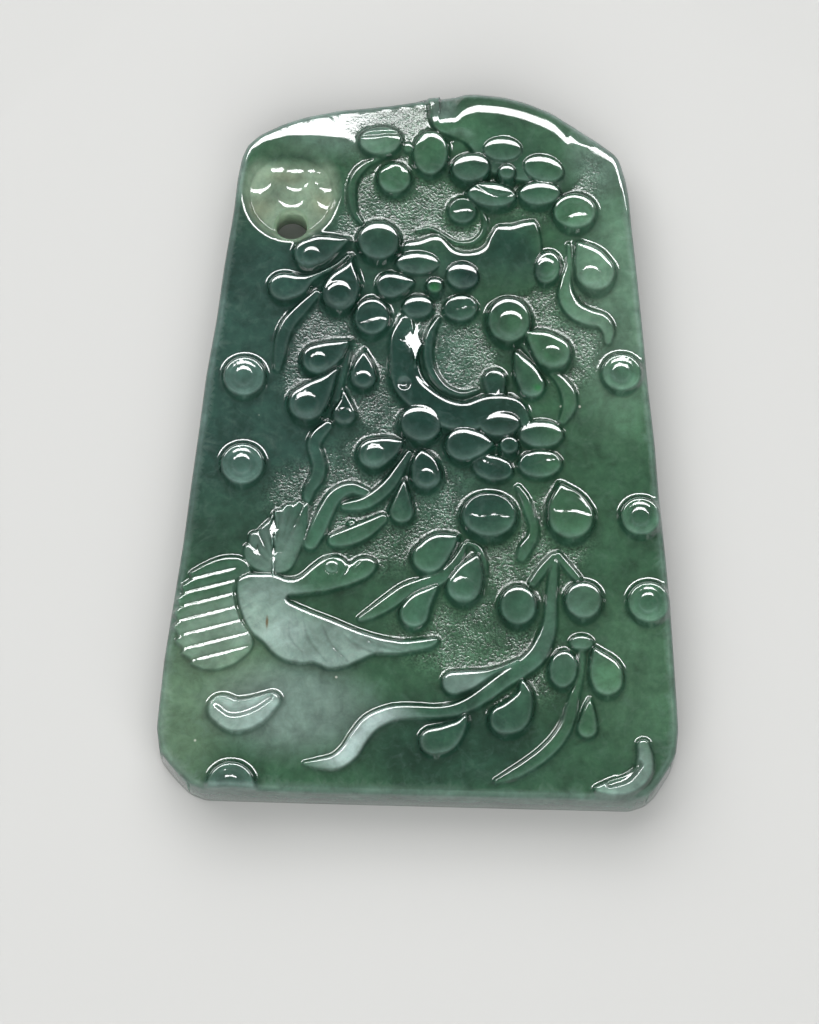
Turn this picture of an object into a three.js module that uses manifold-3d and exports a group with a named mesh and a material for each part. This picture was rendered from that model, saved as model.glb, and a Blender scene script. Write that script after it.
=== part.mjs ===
// Jade pendant: a flat plaque with an arched top, carved from one piece of stone and lying on its back.
// Millimetres. +X runs across the plaque, +Y up to its arch and +Z out of the carved face.
// The origin is the middle of the back, which is flat.
import * as THREE from "three";
import Module from "manifold-3d";
import { mergeVertices } from "three/addons/utils/BufferGeometryUtils.js";

const plaqueWidth = 43.8; // across the widest place, just above the bottom corners
const plaqueLength = 62.6; // from the bottom edge to the top of the arch
const groundThickness = 4.6; // from the back to the ground that the carving stands on
const reliefHeight = 1.8; // from the ground to the top of the tallest bud
const rimBevel = 0.5; // rounding of the edge, on the face and on the back
const roundelDepth = 0.9; // of the sunk roundel around the cord hole
const scoopDepth = 0.45; // of the shallow scoops in the floor of the roundel
const cordHoleDiameter = 2.7;
const knotHoleDepth = 1.2; // of the blind holes in the old trunk and in its curl

// The places below are drawn for a plaque of this size and follow it when it changes.
const drawnWidth = 43.8;
const drawnLength = 62.6;
const across = plaqueWidth / drawnWidth;
const along = plaqueLength / drawnLength;
const girth = Math.min(across, along);

const rootDepth = 0.7; // how far a lump reaches into the plaque under it
const footSink = 0.12; // how far its widest line lies under the ground
const swell = 0.7; // 1 gives a lump a round back, and less gives it steeper sides and a flatter back
const edgeClearance = 0.15; // between the plaque's edge and a lump that the edge cuts off
const sidesAround = 8; // facets of a lump, over its back and under it
const facetLength = 2.3; // along a stem
const outlineFacets = 5; // for each bend of the outline

// Each lump is [share of the relief height, [x, y, radius], ...]: one point is a round bud,
// two or more make a petal, a leaf that narrows to its tip, or a stem that bends.
const topBuds = [
  [0.75, [-5.0, 26.3, 1.45], [-3.9, 26.5, 1.4]],
  [0.8, [-0.1, 24.7, 1.5], [-0.1, 26.0, 1.45]],
  [0.75, [-3.3, 22.9, 1.55]],
  [0.45, [-2.1, 25.9, 0.6]],
  [0.95, [-4.4, 17.2, 2.05]],
  [0.7, [2.7, 20.4, 1.5]],
];
const cloud = [
  [0.7, [0.9, 29.3, 0.7], [2.6, 28.3, 1.1], [5.6, 28.5, 1.5], [9.2, 27.4, 1.6], [12.2, 24.6, 1.1]],
];
const trunk = [
  [0.6, [-1.3, 17.1, 0.5], [0.3, 17.2, 0.9], [2.4, 15.9, 0.9], [4.8, 16.0, 1.3]],
  [0.65, [6.6, 15.9, 2.4], [7.2, 17.3, 2.3]],
  [0.75, [-1.8, 9.4, 0.9], [-2.1, 7.6, 1.2], [-1.8, 4.8, 1.4],
    [0.4, 2.6, 1.3], [3.4, 1.8, 1.4], [7.4, 2.2, 1.3]],
  [0.6, [0.8, 10.2, 0.35], [-0.1, 7.8, 0.5], [0.7, 5.0, 0.5], [3.1, 3.7, 0.45]],
  [0.65, [5.8, 5.1, 1.1]],
];
const curledStem = [
  [0.5, [-4.4, 24.9, 0.35], [-6.3, 23.6, 0.6], [-6.8, 21.4, 0.6], [-5.9, 18.9, 0.4]],
];
const upperBlossom = [
  [0.8, [6.4, 23.6, 0.85]],
  [0.65, [5.5, 25.8, 1.15], [6.6, 25.8, 1.1]],
  [0.65, [2.9, 23.9, 1.3], [3.8, 24.2, 1.2]],
  [0.65, [9.0, 24.4, 1.25], [10.2, 24.1, 1.2]],
  [0.6, [4.2, 21.6, 1.15], [6.2, 21.5, 1.1]],
  [0.6, [8.7, 21.9, 1.15], [9.9, 21.9, 1.1]],
];
const middleBlossom = [
  [0.85, [0.5, 13.2, 0.85]],
  [0.65, [-1.8, 15.3, 1.1], [-0.2, 15.3, 1.1]],
  [0.7, [2.9, 14.3, 1.5]],
  [0.7, [-3.1, 13.2, 1.35], [-1.4, 13.8, 0.6]],
  [0.65, [-1.2, 11.4, 1.05], [-0.6, 11.4, 1.05]],
  [0.65, [2.6, 11.4, 1.4]],
];
const lowerBlossom = [
  [0.85, [7.1, -0.8, 0.9]],
  [0.75, [3.3, -0.9, 1.65], [5.4, -0.8, 0.7]],
  [0.7, [5.7, 1.2, 1.2], [6.8, 1.2, 1.2]],
  [0.7, [9.2, 0.3, 1.25], [10.4, 0.3, 1.2]],
  [0.7, [9.3, -2.3, 1.3], [10.4, -2.3, 1.2]],
  [0.7, [5.4, -2.8, 1.15], [6.3, -2.8, 1.1]],
];
const rightBranch = [
  [0.75, [12.3, 20.3, 1.95]],
  [0.75, [10.2, 15.0, 1.2], [10.5, 16.5, 0.8]],
  [0.85, [14.3, 14.8, 1.9], [12.8, 17.5, 0.6]],
  [0.55, [11.9, 16.4, 0.4], [11.7, 13.2, 0.7], [12.8, 11.3, 0.9], [14.9, 10.5, 0.85], [15.4, 9.1, 0.5]],
  [0.95, [6.9, 10.3, 2.25]],
  [0.8, [10.7, 7.5, 1.85], [8.8, 9.0, 0.7]],
  [0.65, [8.9, 4.7, 1.2], [8.2, 6.0, 1.05], [7.7, 7.2, 0.5]],
  [0.55, [10.2, 6.1, 0.4], [12.0, 4.2, 0.85], [12.2, 2.8, 0.8], [11.7, 1.7, 0.5]],
];
const leftBranch = [
  [0.75, [-10.2, 15.9, 1.55], [-8.9, 16.5, 1.35], [-7.4, 16.8, 0.6]],
  [0.7, [-12.4, 12.8, 1.5], [-10.8, 13.1, 1.0], [-8.3, 14.7, 0.5]],
  [0.85, [-7.6, 12.4, 1.85], [-6.9, 14.8, 0.6]],
  [0.55, [-9.8, 12.2, 0.5], [-11.9, 9.6, 0.65], [-12.5, 7.4, 0.6], [-12.7, 5.7, 0.4]],
  [0.85, [-4.8, 10.2, 1.8]],
  [0.75, [-9.1, 6.5, 1.55], [-8.2, 7.0, 1.3], [-6.8, 8.0, 0.5]],
  [0.85, [-10.0, 2.4, 1.85], [-8.8, 4.0, 1.2], [-7.5, 5.8, 0.4]],
  [0.8, [-5.4, 4.9, 1.25], [-5.4, 6.2, 0.95], [-5.4, 7.3, 0.4]],
  [0.7, [-6.9, 1.7, 1.15], [-7.1, 3.9, 0.35]],
  [0.55, [-8.4, 0.3, 0.7], [-9.5, -1.1, 0.55], [-8.8, -3.0, 0.65], [-9.7, -5.2, 0.55]],
];
const middleLeaves = [
  [0.9, [-0.4, 0.8, 1.9]],
  [0.7, [-4.3, -1.9, 1.6], [-3.1, -1.3, 1.1], [-1.8, -0.8, 0.5]],
  [0.75, [0.2, -3.5, 1.45], [-0.2, -1.8, 0.6]],
  [0.7, [-1.8, -6.7, 1.15], [-1.7, -4.4, 0.35]],
  [0.5, [-1.6, -1.9, 0.4], [-2.5, -4.2, 0.65], [-4.3, -6.0, 0.7], [-6.1, -6.4, 0.55]],
  [0.6, [-3.7, -7.6, 0.6], [-5.6, -9.0, 1.0], [-7.2, -9.5, 0.8]],
  [0.9, [0.7, -10.8, 1.6], [2.5, -9.2, 0.6]],
  [0.75, [3.6, -13.3, 1.65], [4.6, -11.1, 0.6]],
  [0.75, [-0.5, -15.7, 1.4], [1.2, -13.6, 0.5]],
  [0.5, [3.5, -9.9, 0.4], [2.2, -12.0, 0.7], [-0.2, -13.2, 0.7], [-2.7, -14.8, 0.7], [-4.6, -16.1, 0.45]],
];
const rightLeaves = [
  [1.0, [5.2, -7.1, 2.45], [6.0, -7.1, 2.45]],
  [0.95, [12.5, -7.1, 2.25], [12.1, -5.8, 1.7], [11.7, -4.4, 0.5]],
  [0.45, [8.2, -4.8, 0.4], [9.2, -7.2, 0.5], [9.2, -9.0, 0.6], [8.5, -10.3, 0.55]],
  [0.8, [8.2, -15.1, 1.75], [8.4, -14.6, 1.7], [9.4, -12.4, 0.5]],
  [0.8, [13.7, -14.4, 1.75], [13.7, -14.0, 1.7], [12.6, -11.8, 0.5]],
  [0.7, [12.1, -20.6, 1.4], [12.3, -19.7, 1.2]],
  [0.75, [15.8, -21.0, 1.5], [15.4, -19.9, 1.3]],
  [0.6, [14.2, -25.2, 0.95], [14.4, -23.4, 0.45]],
  [0.6, [13.1, -17.8, 0.85], [14.1, -17.8, 0.8]],
  [0.65, [7.4, -24.7, 1.6], [8.2, -24.2, 1.5], [8.7, -21.7, 0.5]],
  [0.65, [1.5, -26.8, 1.4], [2.5, -26.4, 1.3], [3.9, -24.8, 0.5]],
  [0.65, [3.1, -21.6, 1.2], [4.4, -21.3, 0.9], [6.6, -20.4, 0.45]],
];
const longStems = [
  [0.6, [11.2, -10.2, 0.6], [11.0, -14.5, 0.7], [10.5, -17.8, 0.95], [8.6, -20.4, 0.95], [5.8, -22.5, 0.9],
    [2.6, -24.0, 0.8], [-1.6, -24.3, 0.85], [-4.0, -25.4, 0.95], [-5.5, -27.8, 0.95], [-9.2, -28.9, 0.45]],
  [0.55, [13.7, -18.8, 0.45], [13.4, -21.6, 0.5], [12.7, -24.6, 0.75],
    [10.6, -27.6, 0.8], [6.9, -29.9, 0.45]],
  [0.6, [18.9, -26.8, 0.8], [18.9, -28.6, 1.0], [17.6, -29.9, 1.05], [15.4, -30.4, 0.6]],
];
const bean = [
  [0.6, [-16.1, -24.3, 1.5], [-14.6, -24.9, 1.5], [-12.3, -23.9, 1.0]],
];
// Six balls, three down each side, each a low disc with a smaller dome on it: [x, y, radius].
const discShare = 0.6;
const domeShare = 0.95;
const domeRadiusShare = 0.78;
const balls = [
  [-15.5, 4.7, 2.45],
  [-15.4, -3.1, 2.5],
  [-15.4, -30.9, 2.5],
  [16.6, 6.0, 2.35],
  [18.4, -6.7, 2.35],
  [19.2, -14.2, 2.45],
];
// A small bird with its tail spread to the left and its beak to the right.
const birdBody = [
  [0.6, [-13.4, -14.6, 1.9], [-10.2, -13.4, 1.8], [-8.4, -12.6, 1.7]],
  [0.9, [-7.6, -12.0, 1.85]],
  [0.65, [-6.0, -11.8, 1.2], [-3.7, -11.2, 0.4]],
  [0.8, [-12.3, -16.4, 2.2], [-8.6, -18.1, 2.4], [-5.0, -18.7, 1.5], [-1.4, -18.7, 1.0], [1.3, -17.9, 0.7]],
];
const raisedWing = [
  [0.5, [-5.4, -4.7, 0.4], [-7.6, -5.9, 0.75], [-8.8, -8.4, 0.9], [-10.6, -11.3, 0.95]],
  [0.5, [-14.2, -9.8, 0.85], [-13.2, -12.2, 0.8]],
  [0.6, [-12.6, -7.3, 0.6], [-12.6, -11.5, 0.75]],
  [0.5, [-11.7, -7.0, 0.5], [-11.6, -10.4, 0.6]],
  [0.6, [-10.6, -6.3, 0.55], [-11.0, -10.6, 0.7]],
  [0.5, [-9.4, -6.3, 0.5], [-10.2, -10.0, 0.6]],
];
const tailFeathers = 8;
const tailFeatherRadius = 0.62;
const tailShare = 0.55;
const tailRoots = [[-16.2, -12.0], [-14.9, -18.6]];
const tailTips = [[-19.0, -13.0], [-19.2, -20.4]];
const tailSweep = 1.3; // how far the middle tips reach past the line between the outer two

const roundel = { x: -12.1, y: 21.8, halfWidth: 4.45, halfLength: 4.85, floorShare: 0.86 };
const scoops = [
  [-15.0, 23.1, 1.3],
  [-11.9, 23.2, 1.2],
  [-9.1, 23.1, 1.2],
  [-12.0, 21.8, 1.3],
  [-9.0, 21.6, 1.2],
];
const cordHole = { x: -11.95, y: 18.9 };
const knotHole = { x: -1.9, y: 4.6, radius: 0.75, topShare: 0.75 };
const curlHole = { x: 5.8, y: 5.1, radius: 0.5, topShare: 0.65 };
// The arch, from the right shoulder over the top to the left shoulder.
const rightShoulder = [17.0, 22.5];
const archPoints = [
  [16.2, 25.5], [14.0, 27.5], [10.0, 29.8], [6.0, 31.0], [3.0, 31.3],
  [-1.0, 30.9], [-6.0, 30.1], [-10.0, 29.2], [-13.0, 28.1], [-15.3, 26.8], [-16.4, 25.2], [-16.9, 22.5],
];

const wasm = await Module();
wasm.setup();

function solidFrom(geometry) {
  const bare = geometry.clone();
  bare.deleteAttribute("normal");
  bare.deleteAttribute("uv");
  const merged = mergeVertices(bare);
  return new wasm.Manifold(
    new wasm.Mesh({
      numProp: 3,
      vertProperties: new Float32Array(merged.attributes.position.array),
      triVerts: new Uint32Array(merged.index.array),
    }),
  );
}

function joined(solids) {
  return solids.reduce((whole, solid) => whole.add(solid));
}

// The outline: a straight foot, cut corners, sides that lean in, and an uneven arch.
function plaqueShape() {
  const widest = drawnWidth / 2;
  const foot = -drawnLength / 2;
  const cornerWidth = 4.4;
  const cornerHeight = 5.3;
  const cornerPoint = [widest - 0.3, foot + 2.3];
  const sideBow = [19.5, -2.0];
  const place = (x, y) => [x * across, y * along];
  const shape = new THREE.Shape();
  shape.moveTo(...place(cornerWidth - widest, foot));
  shape.lineTo(...place(widest - cornerWidth, foot));
  shape.quadraticCurveTo(...place(...cornerPoint), ...place(widest, foot + cornerHeight));
  shape.quadraticCurveTo(...place(...sideBow), ...place(...rightShoulder));
  shape.splineThru(archPoints.map(([x, y]) => new THREE.Vector2(...place(x, y))));
  shape.quadraticCurveTo(...place(-sideBow[0], sideBow[1]), ...place(-widest, foot + cornerHeight));
  shape.quadraticCurveTo(...place(-cornerPoint[0], cornerPoint[1]), ...place(cornerWidth - widest, foot));
  return shape;
}

function plaqueSlab() {
  const slab = new THREE.ExtrudeGeometry(plaqueShape(), {
    depth: groundThickness - 2 * rimBevel,
    bevelThickness: rimBevel,
    bevelSize: rimBevel,
    bevelOffset: -rimBevel,
    bevelSegments: 2,
    curveSegments: outlineFacets,
  });
  slab.translate(0, 0, rimBevel);
  return solidFrom(slab);
}

// A ball bent along a path: its poles are the ends, and its radius follows the path's third value.
function lump([share, ...points], base = groundThickness) {
  const places = points.map(([x, y, r]) => new THREE.Vector3(x * across, y * along, r * girth));
  const first = places[0];
  const last = places[places.length - 1];
  const path = places.length > 1 ? new THREE.CatmullRomCurve3(places) : null;
  const pathLength = path ? path.getLength() : 0;
  const fullLength = first.z + pathLength + last.z;
  const widest = Math.max(...places.map((place) => place.z));
  const rings = Math.max(5, Math.round(fullLength / (facetLength * girth)) + 3);
  const geometry = new THREE.SphereGeometry(1, sidesAround, rings);
  const vertex = new THREE.Vector3();
  const position = geometry.attributes.position;
  for (let i = 0; i < position.count; i += 1) {
    vertex.fromBufferAttribute(position, i);
    const station = ((1 - vertex.y) / 2) * fullLength;
    const share01 = path ? THREE.MathUtils.clamp((station - first.z) / pathLength, 0, 1) : 0;
    const centre = path ? path.getPointAt(share01) : first.clone();
    const heading = path ? path.getTangentAt(share01).setZ(0).normalize() : new THREE.Vector3(1, 0, 0);
    const overrun = Math.min(0, station - first.z) + Math.max(0, station - first.z - pathLength);
    const capRadius = overrun < 0 ? first.z : last.z;
    const radius = overrun ? Math.sqrt(Math.max(0, capRadius ** 2 - overrun ** 2)) : centre.z;
    const ringSize = Math.hypot(vertex.x, vertex.z) || 1;
    const sideways = (vertex.x / ringSize) * radius;
    const upward = vertex.z / ringSize;
    const fullness = Math.sqrt(radius / widest);
    const rise = upward > 0 ? upward ** swell * share * reliefHeight : upward * rootDepth;
    position.setXYZ(
      i,
      centre.x + heading.x * overrun - heading.y * sideways,
      centre.y + heading.y * overrun + heading.x * sideways,
      base - footSink + rise * fullness,
    );
  }
  return solidFrom(geometry);
}

function ball([x, y, radius]) {
  const disc = lump([discShare, [x, y, radius]]);
  const dome = lump([domeShare, [x, y, radius * domeRadiusShare]]);
  return disc.add(dome);
}

function tail() {
  const feathers = [];
  for (let i = 0; i < tailFeathers; i += 1) {
    const step = i / (tailFeathers - 1);
    const between = ([a, b]) => [a[0] + (b[0] - a[0]) * step, a[1] + (b[1] - a[1]) * step];
    const [rootX, rootY] = between(tailRoots);
    const [tipX, tipY] = between(tailTips);
    const reach = tailSweep * Math.sin(Math.PI * step);
    const root = [rootX, rootY, tailFeatherRadius];
    const tip = [tipX - reach, tipY, tailFeatherRadius];
    feathers.push(lump([tailShare, root, tip]));
  }
  return joined(feathers);
}

function upright(radiusTop, radiusBottom, height, sides) {
  return new THREE.CylinderGeometry(radiusTop, radiusBottom, height, sides).rotateX(Math.PI / 2);
}

function roundelCut() {
  const above = 1;
  const height = roundelDepth + above;
  const flare = 1 + ((1 - roundel.floorShare) * above) / roundelDepth;
  const cut = upright(flare, roundel.floorShare, height, 24);
  cut.scale(roundel.halfWidth * across, roundel.halfLength * along, 1);
  cut.translate(roundel.x * across, roundel.y * along, groundThickness - roundelDepth + height / 2);
  return solidFrom(cut);
}

function scoopCut([x, y, radius]) {
  const cut = new THREE.SphereGeometry(1, 10, 6).rotateX(Math.PI / 2);
  cut.scale(radius * girth, radius * girth, scoopDepth);
  cut.translate(x * across, y * along, groundThickness - roundelDepth);
  return solidFrom(cut);
}

function cordHoleCut() {
  const cut = upright(cordHoleDiameter / 2, cordHoleDiameter / 2, 2 * groundThickness, 16);
  cut.translate(cordHole.x * across, cordHole.y * along, groundThickness / 2);
  return solidFrom(cut);
}

function blindHoleCut(hole) {
  const cut = new THREE.SphereGeometry(1, 10, 8).rotateX(Math.PI / 2);
  cut.scale(hole.radius * girth, hole.radius * girth, knotHoleDepth);
  cut.translate(hole.x * across, hole.y * along, groundThickness + hole.topShare * reliefHeight);
  return solidFrom(cut);
}

function pendantSolid() {
  const sunk = plaqueSlab().subtract(roundelCut()).subtract(joined(scoops.map(scoopCut)));
  const lumps = [
    topBuds, cloud, trunk, curledStem, upperBlossom, middleBlossom, lowerBlossom, rightBranch,
    leftBranch, middleLeaves, rightLeaves, longStems, bean, birdBody, raisedWing,
  ].flat();
  const inset = new THREE.ExtrudeGeometry(plaqueShape(), {
    depth: groundThickness + 2 * reliefHeight,
    bevelEnabled: false,
    curveSegments: outlineFacets,
  });
  inset.scale(1 - (2 * edgeClearance) / plaqueWidth, 1 - (2 * edgeClearance) / plaqueLength, 1);
  inset.translate(0, 0, rimBevel);
  const relief = joined([...lumps.map((each) => lump(each)), ...balls.map(ball), tail()]);
  const whole = sunk.add(relief.intersect(solidFrom(inset)));
  return whole.subtract(cordHoleCut()).subtract(blindHoleCut(knotHole)).subtract(blindHoleCut(curlHole));
}

function meshFrom(solid, name, material) {
  const { vertProperties, triVerts } = solid.getMesh();
  const geometry = new THREE.BufferGeometry();
  geometry.setAttribute("position", new THREE.BufferAttribute(new Float32Array(vertProperties), 3));
  geometry.setIndex(new THREE.BufferAttribute(new Uint32Array(triVerts), 1));
  geometry.computeVertexNormals();
  const mesh = new THREE.Mesh(geometry, material);
  mesh.name = name;
  return mesh;
}

const jade = new THREE.MeshStandardMaterial({ color: 0x4f7f6a, roughness: 0.15, metalness: 0 });
const object = new THREE.Group();
object.add(meshFrom(pendantSolid(), "pendant", jade));

export default object;
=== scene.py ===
# Jade pendant lying on its flat back: a carved plaque of polished blue-green stone.
# Sizes in the lists are millimetres, drawn on the face from its middle, and are turned into metres
# where the mesh is made. +X runs across the plaque, +Y up to its arch and +Z out of the carved face.
import math

import bmesh
import bpy
import numpy as np
from mathutils import Matrix, Vector
from mathutils.kdtree import KDTree


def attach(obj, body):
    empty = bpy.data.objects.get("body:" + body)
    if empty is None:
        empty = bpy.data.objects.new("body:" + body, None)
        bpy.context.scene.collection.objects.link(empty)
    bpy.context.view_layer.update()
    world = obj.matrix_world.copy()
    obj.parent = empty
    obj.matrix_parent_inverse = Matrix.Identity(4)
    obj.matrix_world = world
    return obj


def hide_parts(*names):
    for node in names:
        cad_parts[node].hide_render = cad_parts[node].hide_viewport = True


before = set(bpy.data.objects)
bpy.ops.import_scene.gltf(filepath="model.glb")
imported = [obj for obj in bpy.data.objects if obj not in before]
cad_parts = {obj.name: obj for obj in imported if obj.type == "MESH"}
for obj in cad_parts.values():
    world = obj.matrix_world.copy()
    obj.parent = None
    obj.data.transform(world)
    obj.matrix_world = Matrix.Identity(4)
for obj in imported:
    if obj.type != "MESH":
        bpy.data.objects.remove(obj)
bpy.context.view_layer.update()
mm = 0.001

# Camera: 450 mm from the middle of the face, 17 degrees off square towards the foot of the plaque,
# and turned a little, so that the plaque stands in the frame as it does in the photograph.
image_width, image_height = 819, 1024
focal_pixels = 5300
viewing_distance = 0.450
viewing_tilt = math.radians(17)
plaque_turn = math.radians(1.5)
face_middle = Vector((0, 0, 0.005))
middle_in_frame = (425.0, 434.6)

camera_data = bpy.data.cameras.new("camera")
camera_data.sensor_width = 36
camera_data.lens = focal_pixels / image_height * camera_data.sensor_width
camera_data.clip_start = 0.01
camera = bpy.data.objects.new("camera", camera_data)
bpy.context.scene.collection.objects.link(camera)
camera_place = face_middle + viewing_distance * Vector((0, -math.sin(viewing_tilt), math.cos(viewing_tilt)))
towards_plaque = (face_middle - camera_place).normalized()
level_right = Vector((1, 0, 0))
level_up = level_right.cross(towards_plaque)
right = level_right * math.cos(plaque_turn) + level_up * math.sin(plaque_turn)
up = level_up * math.cos(plaque_turn) - level_right * math.sin(plaque_turn)
offset_right = (middle_in_frame[0] - image_width / 2) / focal_pixels
offset_up = (image_height / 2 - middle_in_frame[1]) / focal_pixels
forward = (towards_plaque - right * offset_right - up * offset_up).normalized()
right = (right - forward * right.dot(forward)).normalized()
up = right.cross(forward)
camera.matrix_world = Matrix.Translation(camera_place) @ Matrix((right, up, -forward)).transposed().to_4x4()
bpy.context.scene.camera = camera

# The plaque's outline: a straight foot, cut corners, sides that lean in and an uneven arch.
# It is sawn and ground from a slab 4.6 mm thick, and its edges are rounded by hand.
ground_level = 4.6
edge_rounding = 0.5
back_rounding = 0.4
foot_line = [
    (-20.7, -29.0), (-19.8, -30.0), (-18.9, -30.8), (-17.6, -31.28), (-9.0, -31.3), (0.0, -31.3),
    (9.0, -31.3), (18.0, -31.28), (19.3, -30.8), (20.1, -30.0), (20.7, -29.0),
]
right_side = [
    (20.7, -29.0), (21.3, -28.0), (21.7, -27.0), (21.86, -25.0), (21.5, -20.0), (21.1, -15.0), (20.6, -10.0),
    (20.0, -5.0), (19.55, 0.0), (18.92, 5.0), (18.4, 10.0), (17.84, 15.0), (17.24, 20.0), (17.06, 22.0),
    (16.8, 23.6), (16.2, 25.5), (15.8, 26.1),
]
arch_line = [
    (-16.0, 26.0), (-15.0, 27.0), (-13.0, 28.1), (-11.0, 28.9), (-8.0, 29.7), (-4.0, 30.3), (0.0, 30.9),
    (3.0, 31.27), (6.0, 31.0), (8.0, 30.5), (10.0, 29.7), (12.0, 28.6), (14.0, 27.4), (15.8, 26.1),
]
left_side = [
    (-20.7, -29.0), (-21.5, -28.0), (-21.8, -26.0), (-21.75, -25.0), (-21.4, -20.0), (-20.8, -15.0),
    (-20.2, -10.0), (-19.75, -5.0), (-19.25, 0.0), (-18.8, 5.0), (-18.1, 10.0), (-17.6, 15.0), (-16.95, 20.0),
    (-16.75, 22.9), (-16.45, 24.8), (-16.0, 26.0),
]


def evenly_spaced(points, count):
    """The same line with its points an equal way apart."""
    points = np.asarray(points, float)
    lengths = np.hypot(*np.diff(points[:, :2], axis=0).T)
    along = np.concatenate([[0.0], np.cumsum(lengths)])
    stations = np.linspace(0, along[-1], count)
    return np.stack([np.interp(stations, along, column) for column in points.T], axis=1)


def smoothed_outline():
    """The whole outline as one closed line, a tenth of a millimetre apart, with its corners eased."""
    loop = foot_line[:-1] + right_side[:-1] + arch_line[::-1][:-1] + left_side[::-1]
    line = evenly_spaced(loop, 2001)[:-1]
    width = 7
    kernel = np.hanning(2 * width + 1)
    kernel /= kernel.sum()
    eased = np.zeros_like(line)
    for shift, weight in zip(range(-width, width + 1), kernel):
        eased += weight * np.roll(line, shift, axis=0)
    return eased


outline = smoothed_outline()


def nearest_on_outline(corner):
    """The number of the outline's point that lies nearest to a corner."""
    return int(np.argmin(np.hypot(*(outline - np.array(corner)).T)))


def outline_between(start, end, count):
    """The stretch of the outline from one corner to the next."""
    first, last = nearest_on_outline(start), nearest_on_outline(end)
    if last < first:
        last += len(outline)
    indices = np.arange(first, last + 1) % len(outline)
    return evenly_spaced(outline[indices], count)


# The face before carving: a net of places across and up the slab, on which the height of the stone is kept.
# Its lines follow the outline and lie closer at the very edge, where the rounding is.
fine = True
lines_across = 400 if fine else 210
lines_up = 580 if fine else 310
near_edge = np.array([0.0, 0.04, 0.1, 0.18, 0.28, 0.4, 0.52])
shortest_side, longest_side = 40.0, 60.0


def grid_shares(count, length):
    """Shares of a side at which the lines of the net stand, from 0 to 1."""
    edge = near_edge / length
    middle = np.linspace(edge[-1], 1 - edge[-1], count)[1:-1]
    return np.concatenate([edge, middle, (1 - edge)[::-1]])


samples_along = 4001
share_across = grid_shares(lines_across, shortest_side)
share_up = grid_shares(lines_up, longest_side)


def pick(line, shares):
    """The points of a line at some shares of its length."""
    stations = np.linspace(0, 1, len(line))
    return np.stack([np.interp(shares, stations, column) for column in line.T], axis=1)


foot_edge = pick(outline_between(foot_line[0], foot_line[-1], samples_along), share_across)
right_edge = pick(outline_between(right_side[0], right_side[-1], samples_along), share_up)
arch_edge = pick(outline_between(arch_line[-1], arch_line[0], samples_along)[::-1], share_across)
left_edge = pick(outline_between(left_side[-1], left_side[0], samples_along)[::-1], share_up)
u = share_across[None, :, None]
v = share_up[:, None, None]
face_grid = (
    (1 - u) * left_edge[:, None, :]
    + u * right_edge[:, None, :]
    + (1 - v) * foot_edge[None, :, :]
    + v * arch_edge[None, :, :]
    - (1 - u) * (1 - v) * foot_edge[0]
    - u * (1 - v) * foot_edge[-1]
    - (1 - u) * v * arch_edge[0]
    - u * v * arch_edge[-1]
)

# Cord hole: a bore of 2.7 mm drilled through the stone at the top left, eased at both of its mouths.
# The lines of the net are drawn onto rings around it.
hole_middle = np.array([-11.95, 18.9])
hole_radius = 1.35
hole_rounding = 0.3
from_hole = np.hypot(*(face_grid - hole_middle).transpose(2, 0, 1))
hole_row, hole_column = np.unravel_index(np.argmin(from_hole), from_hole.shape)
step_across = np.hypot(*(face_grid[hole_row, hole_column + 1] - face_grid[hole_row, hole_column]))
step_up = np.hypot(*(face_grid[hole_row + 1, hole_column] - face_grid[hole_row, hole_column]))
fewest_steps = 3
half_across = max(fewest_steps, round(hole_radius / step_across))
half_up = max(fewest_steps, round(hole_radius / step_up))
rows, columns = np.meshgrid(np.arange(face_grid.shape[0]), np.arange(face_grid.shape[1]), indexing="ij")
square_share = np.maximum(abs(columns - hole_column) / half_across, abs(rows - hole_row) / half_up)
away = face_grid - face_grid[hole_row, hole_column]
away_length = np.maximum(np.hypot(away[..., 0], away[..., 1]), 1e-9)[..., None]
on_rings = hole_middle + away / away_length * (square_share * hole_radius)[..., None]


def eased(share):
    """A share from nothing to one, with a soft start and end."""
    return share * share * (3 - 2 * share)


pull = eased(np.clip(2 - square_share, 0, 1)[..., None])
face_grid = face_grid * (1 - pull) + on_rings * pull
inside_hole = square_share < 1

face_x = face_grid[..., 0].ravel()
face_y = face_grid[..., 1].ravel()
relief = np.zeros_like(face_x)

# The six balls, three down each side: each is a low disc of the same stone with a smaller dome on it.
# Like every form of the relief they are left standing where the ground is ground away, with a hollow foot
# worn by the wheel, a steep wall, a quick round shoulder and a nearly flat crown.
shoulder_angle = math.radians(22)
ball_angle = math.radians(9)
foot_edge_angle = math.radians(42)
# Each of these is a size at no radius, what a millimetre of radius adds to it, and the most it can be.
foot_size = (0.24, 0.2, 0.6)
wall_steepness = (60, 6, 72)
wall_size = (0.02, 0.06, 1.0)
shoulder_size = (0.22, 0.09, 0.4)
crest_easing = 0.12
crease_easing = 0.07
leaf_radius = 1.02
least_radius = 0.05
most_taper = 0.95
foot_reach = 1.2
bed_start, bed_width = 0.24, 0.4
lean_width = 0.5
dome_edge = 0.1
far_away = 1e3


def grown(size, radius):
    """A size that grows with the form's radius, up to the most that it can be."""
    least, growth, most = size
    return np.minimum(most, least + growth * radius)


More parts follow.
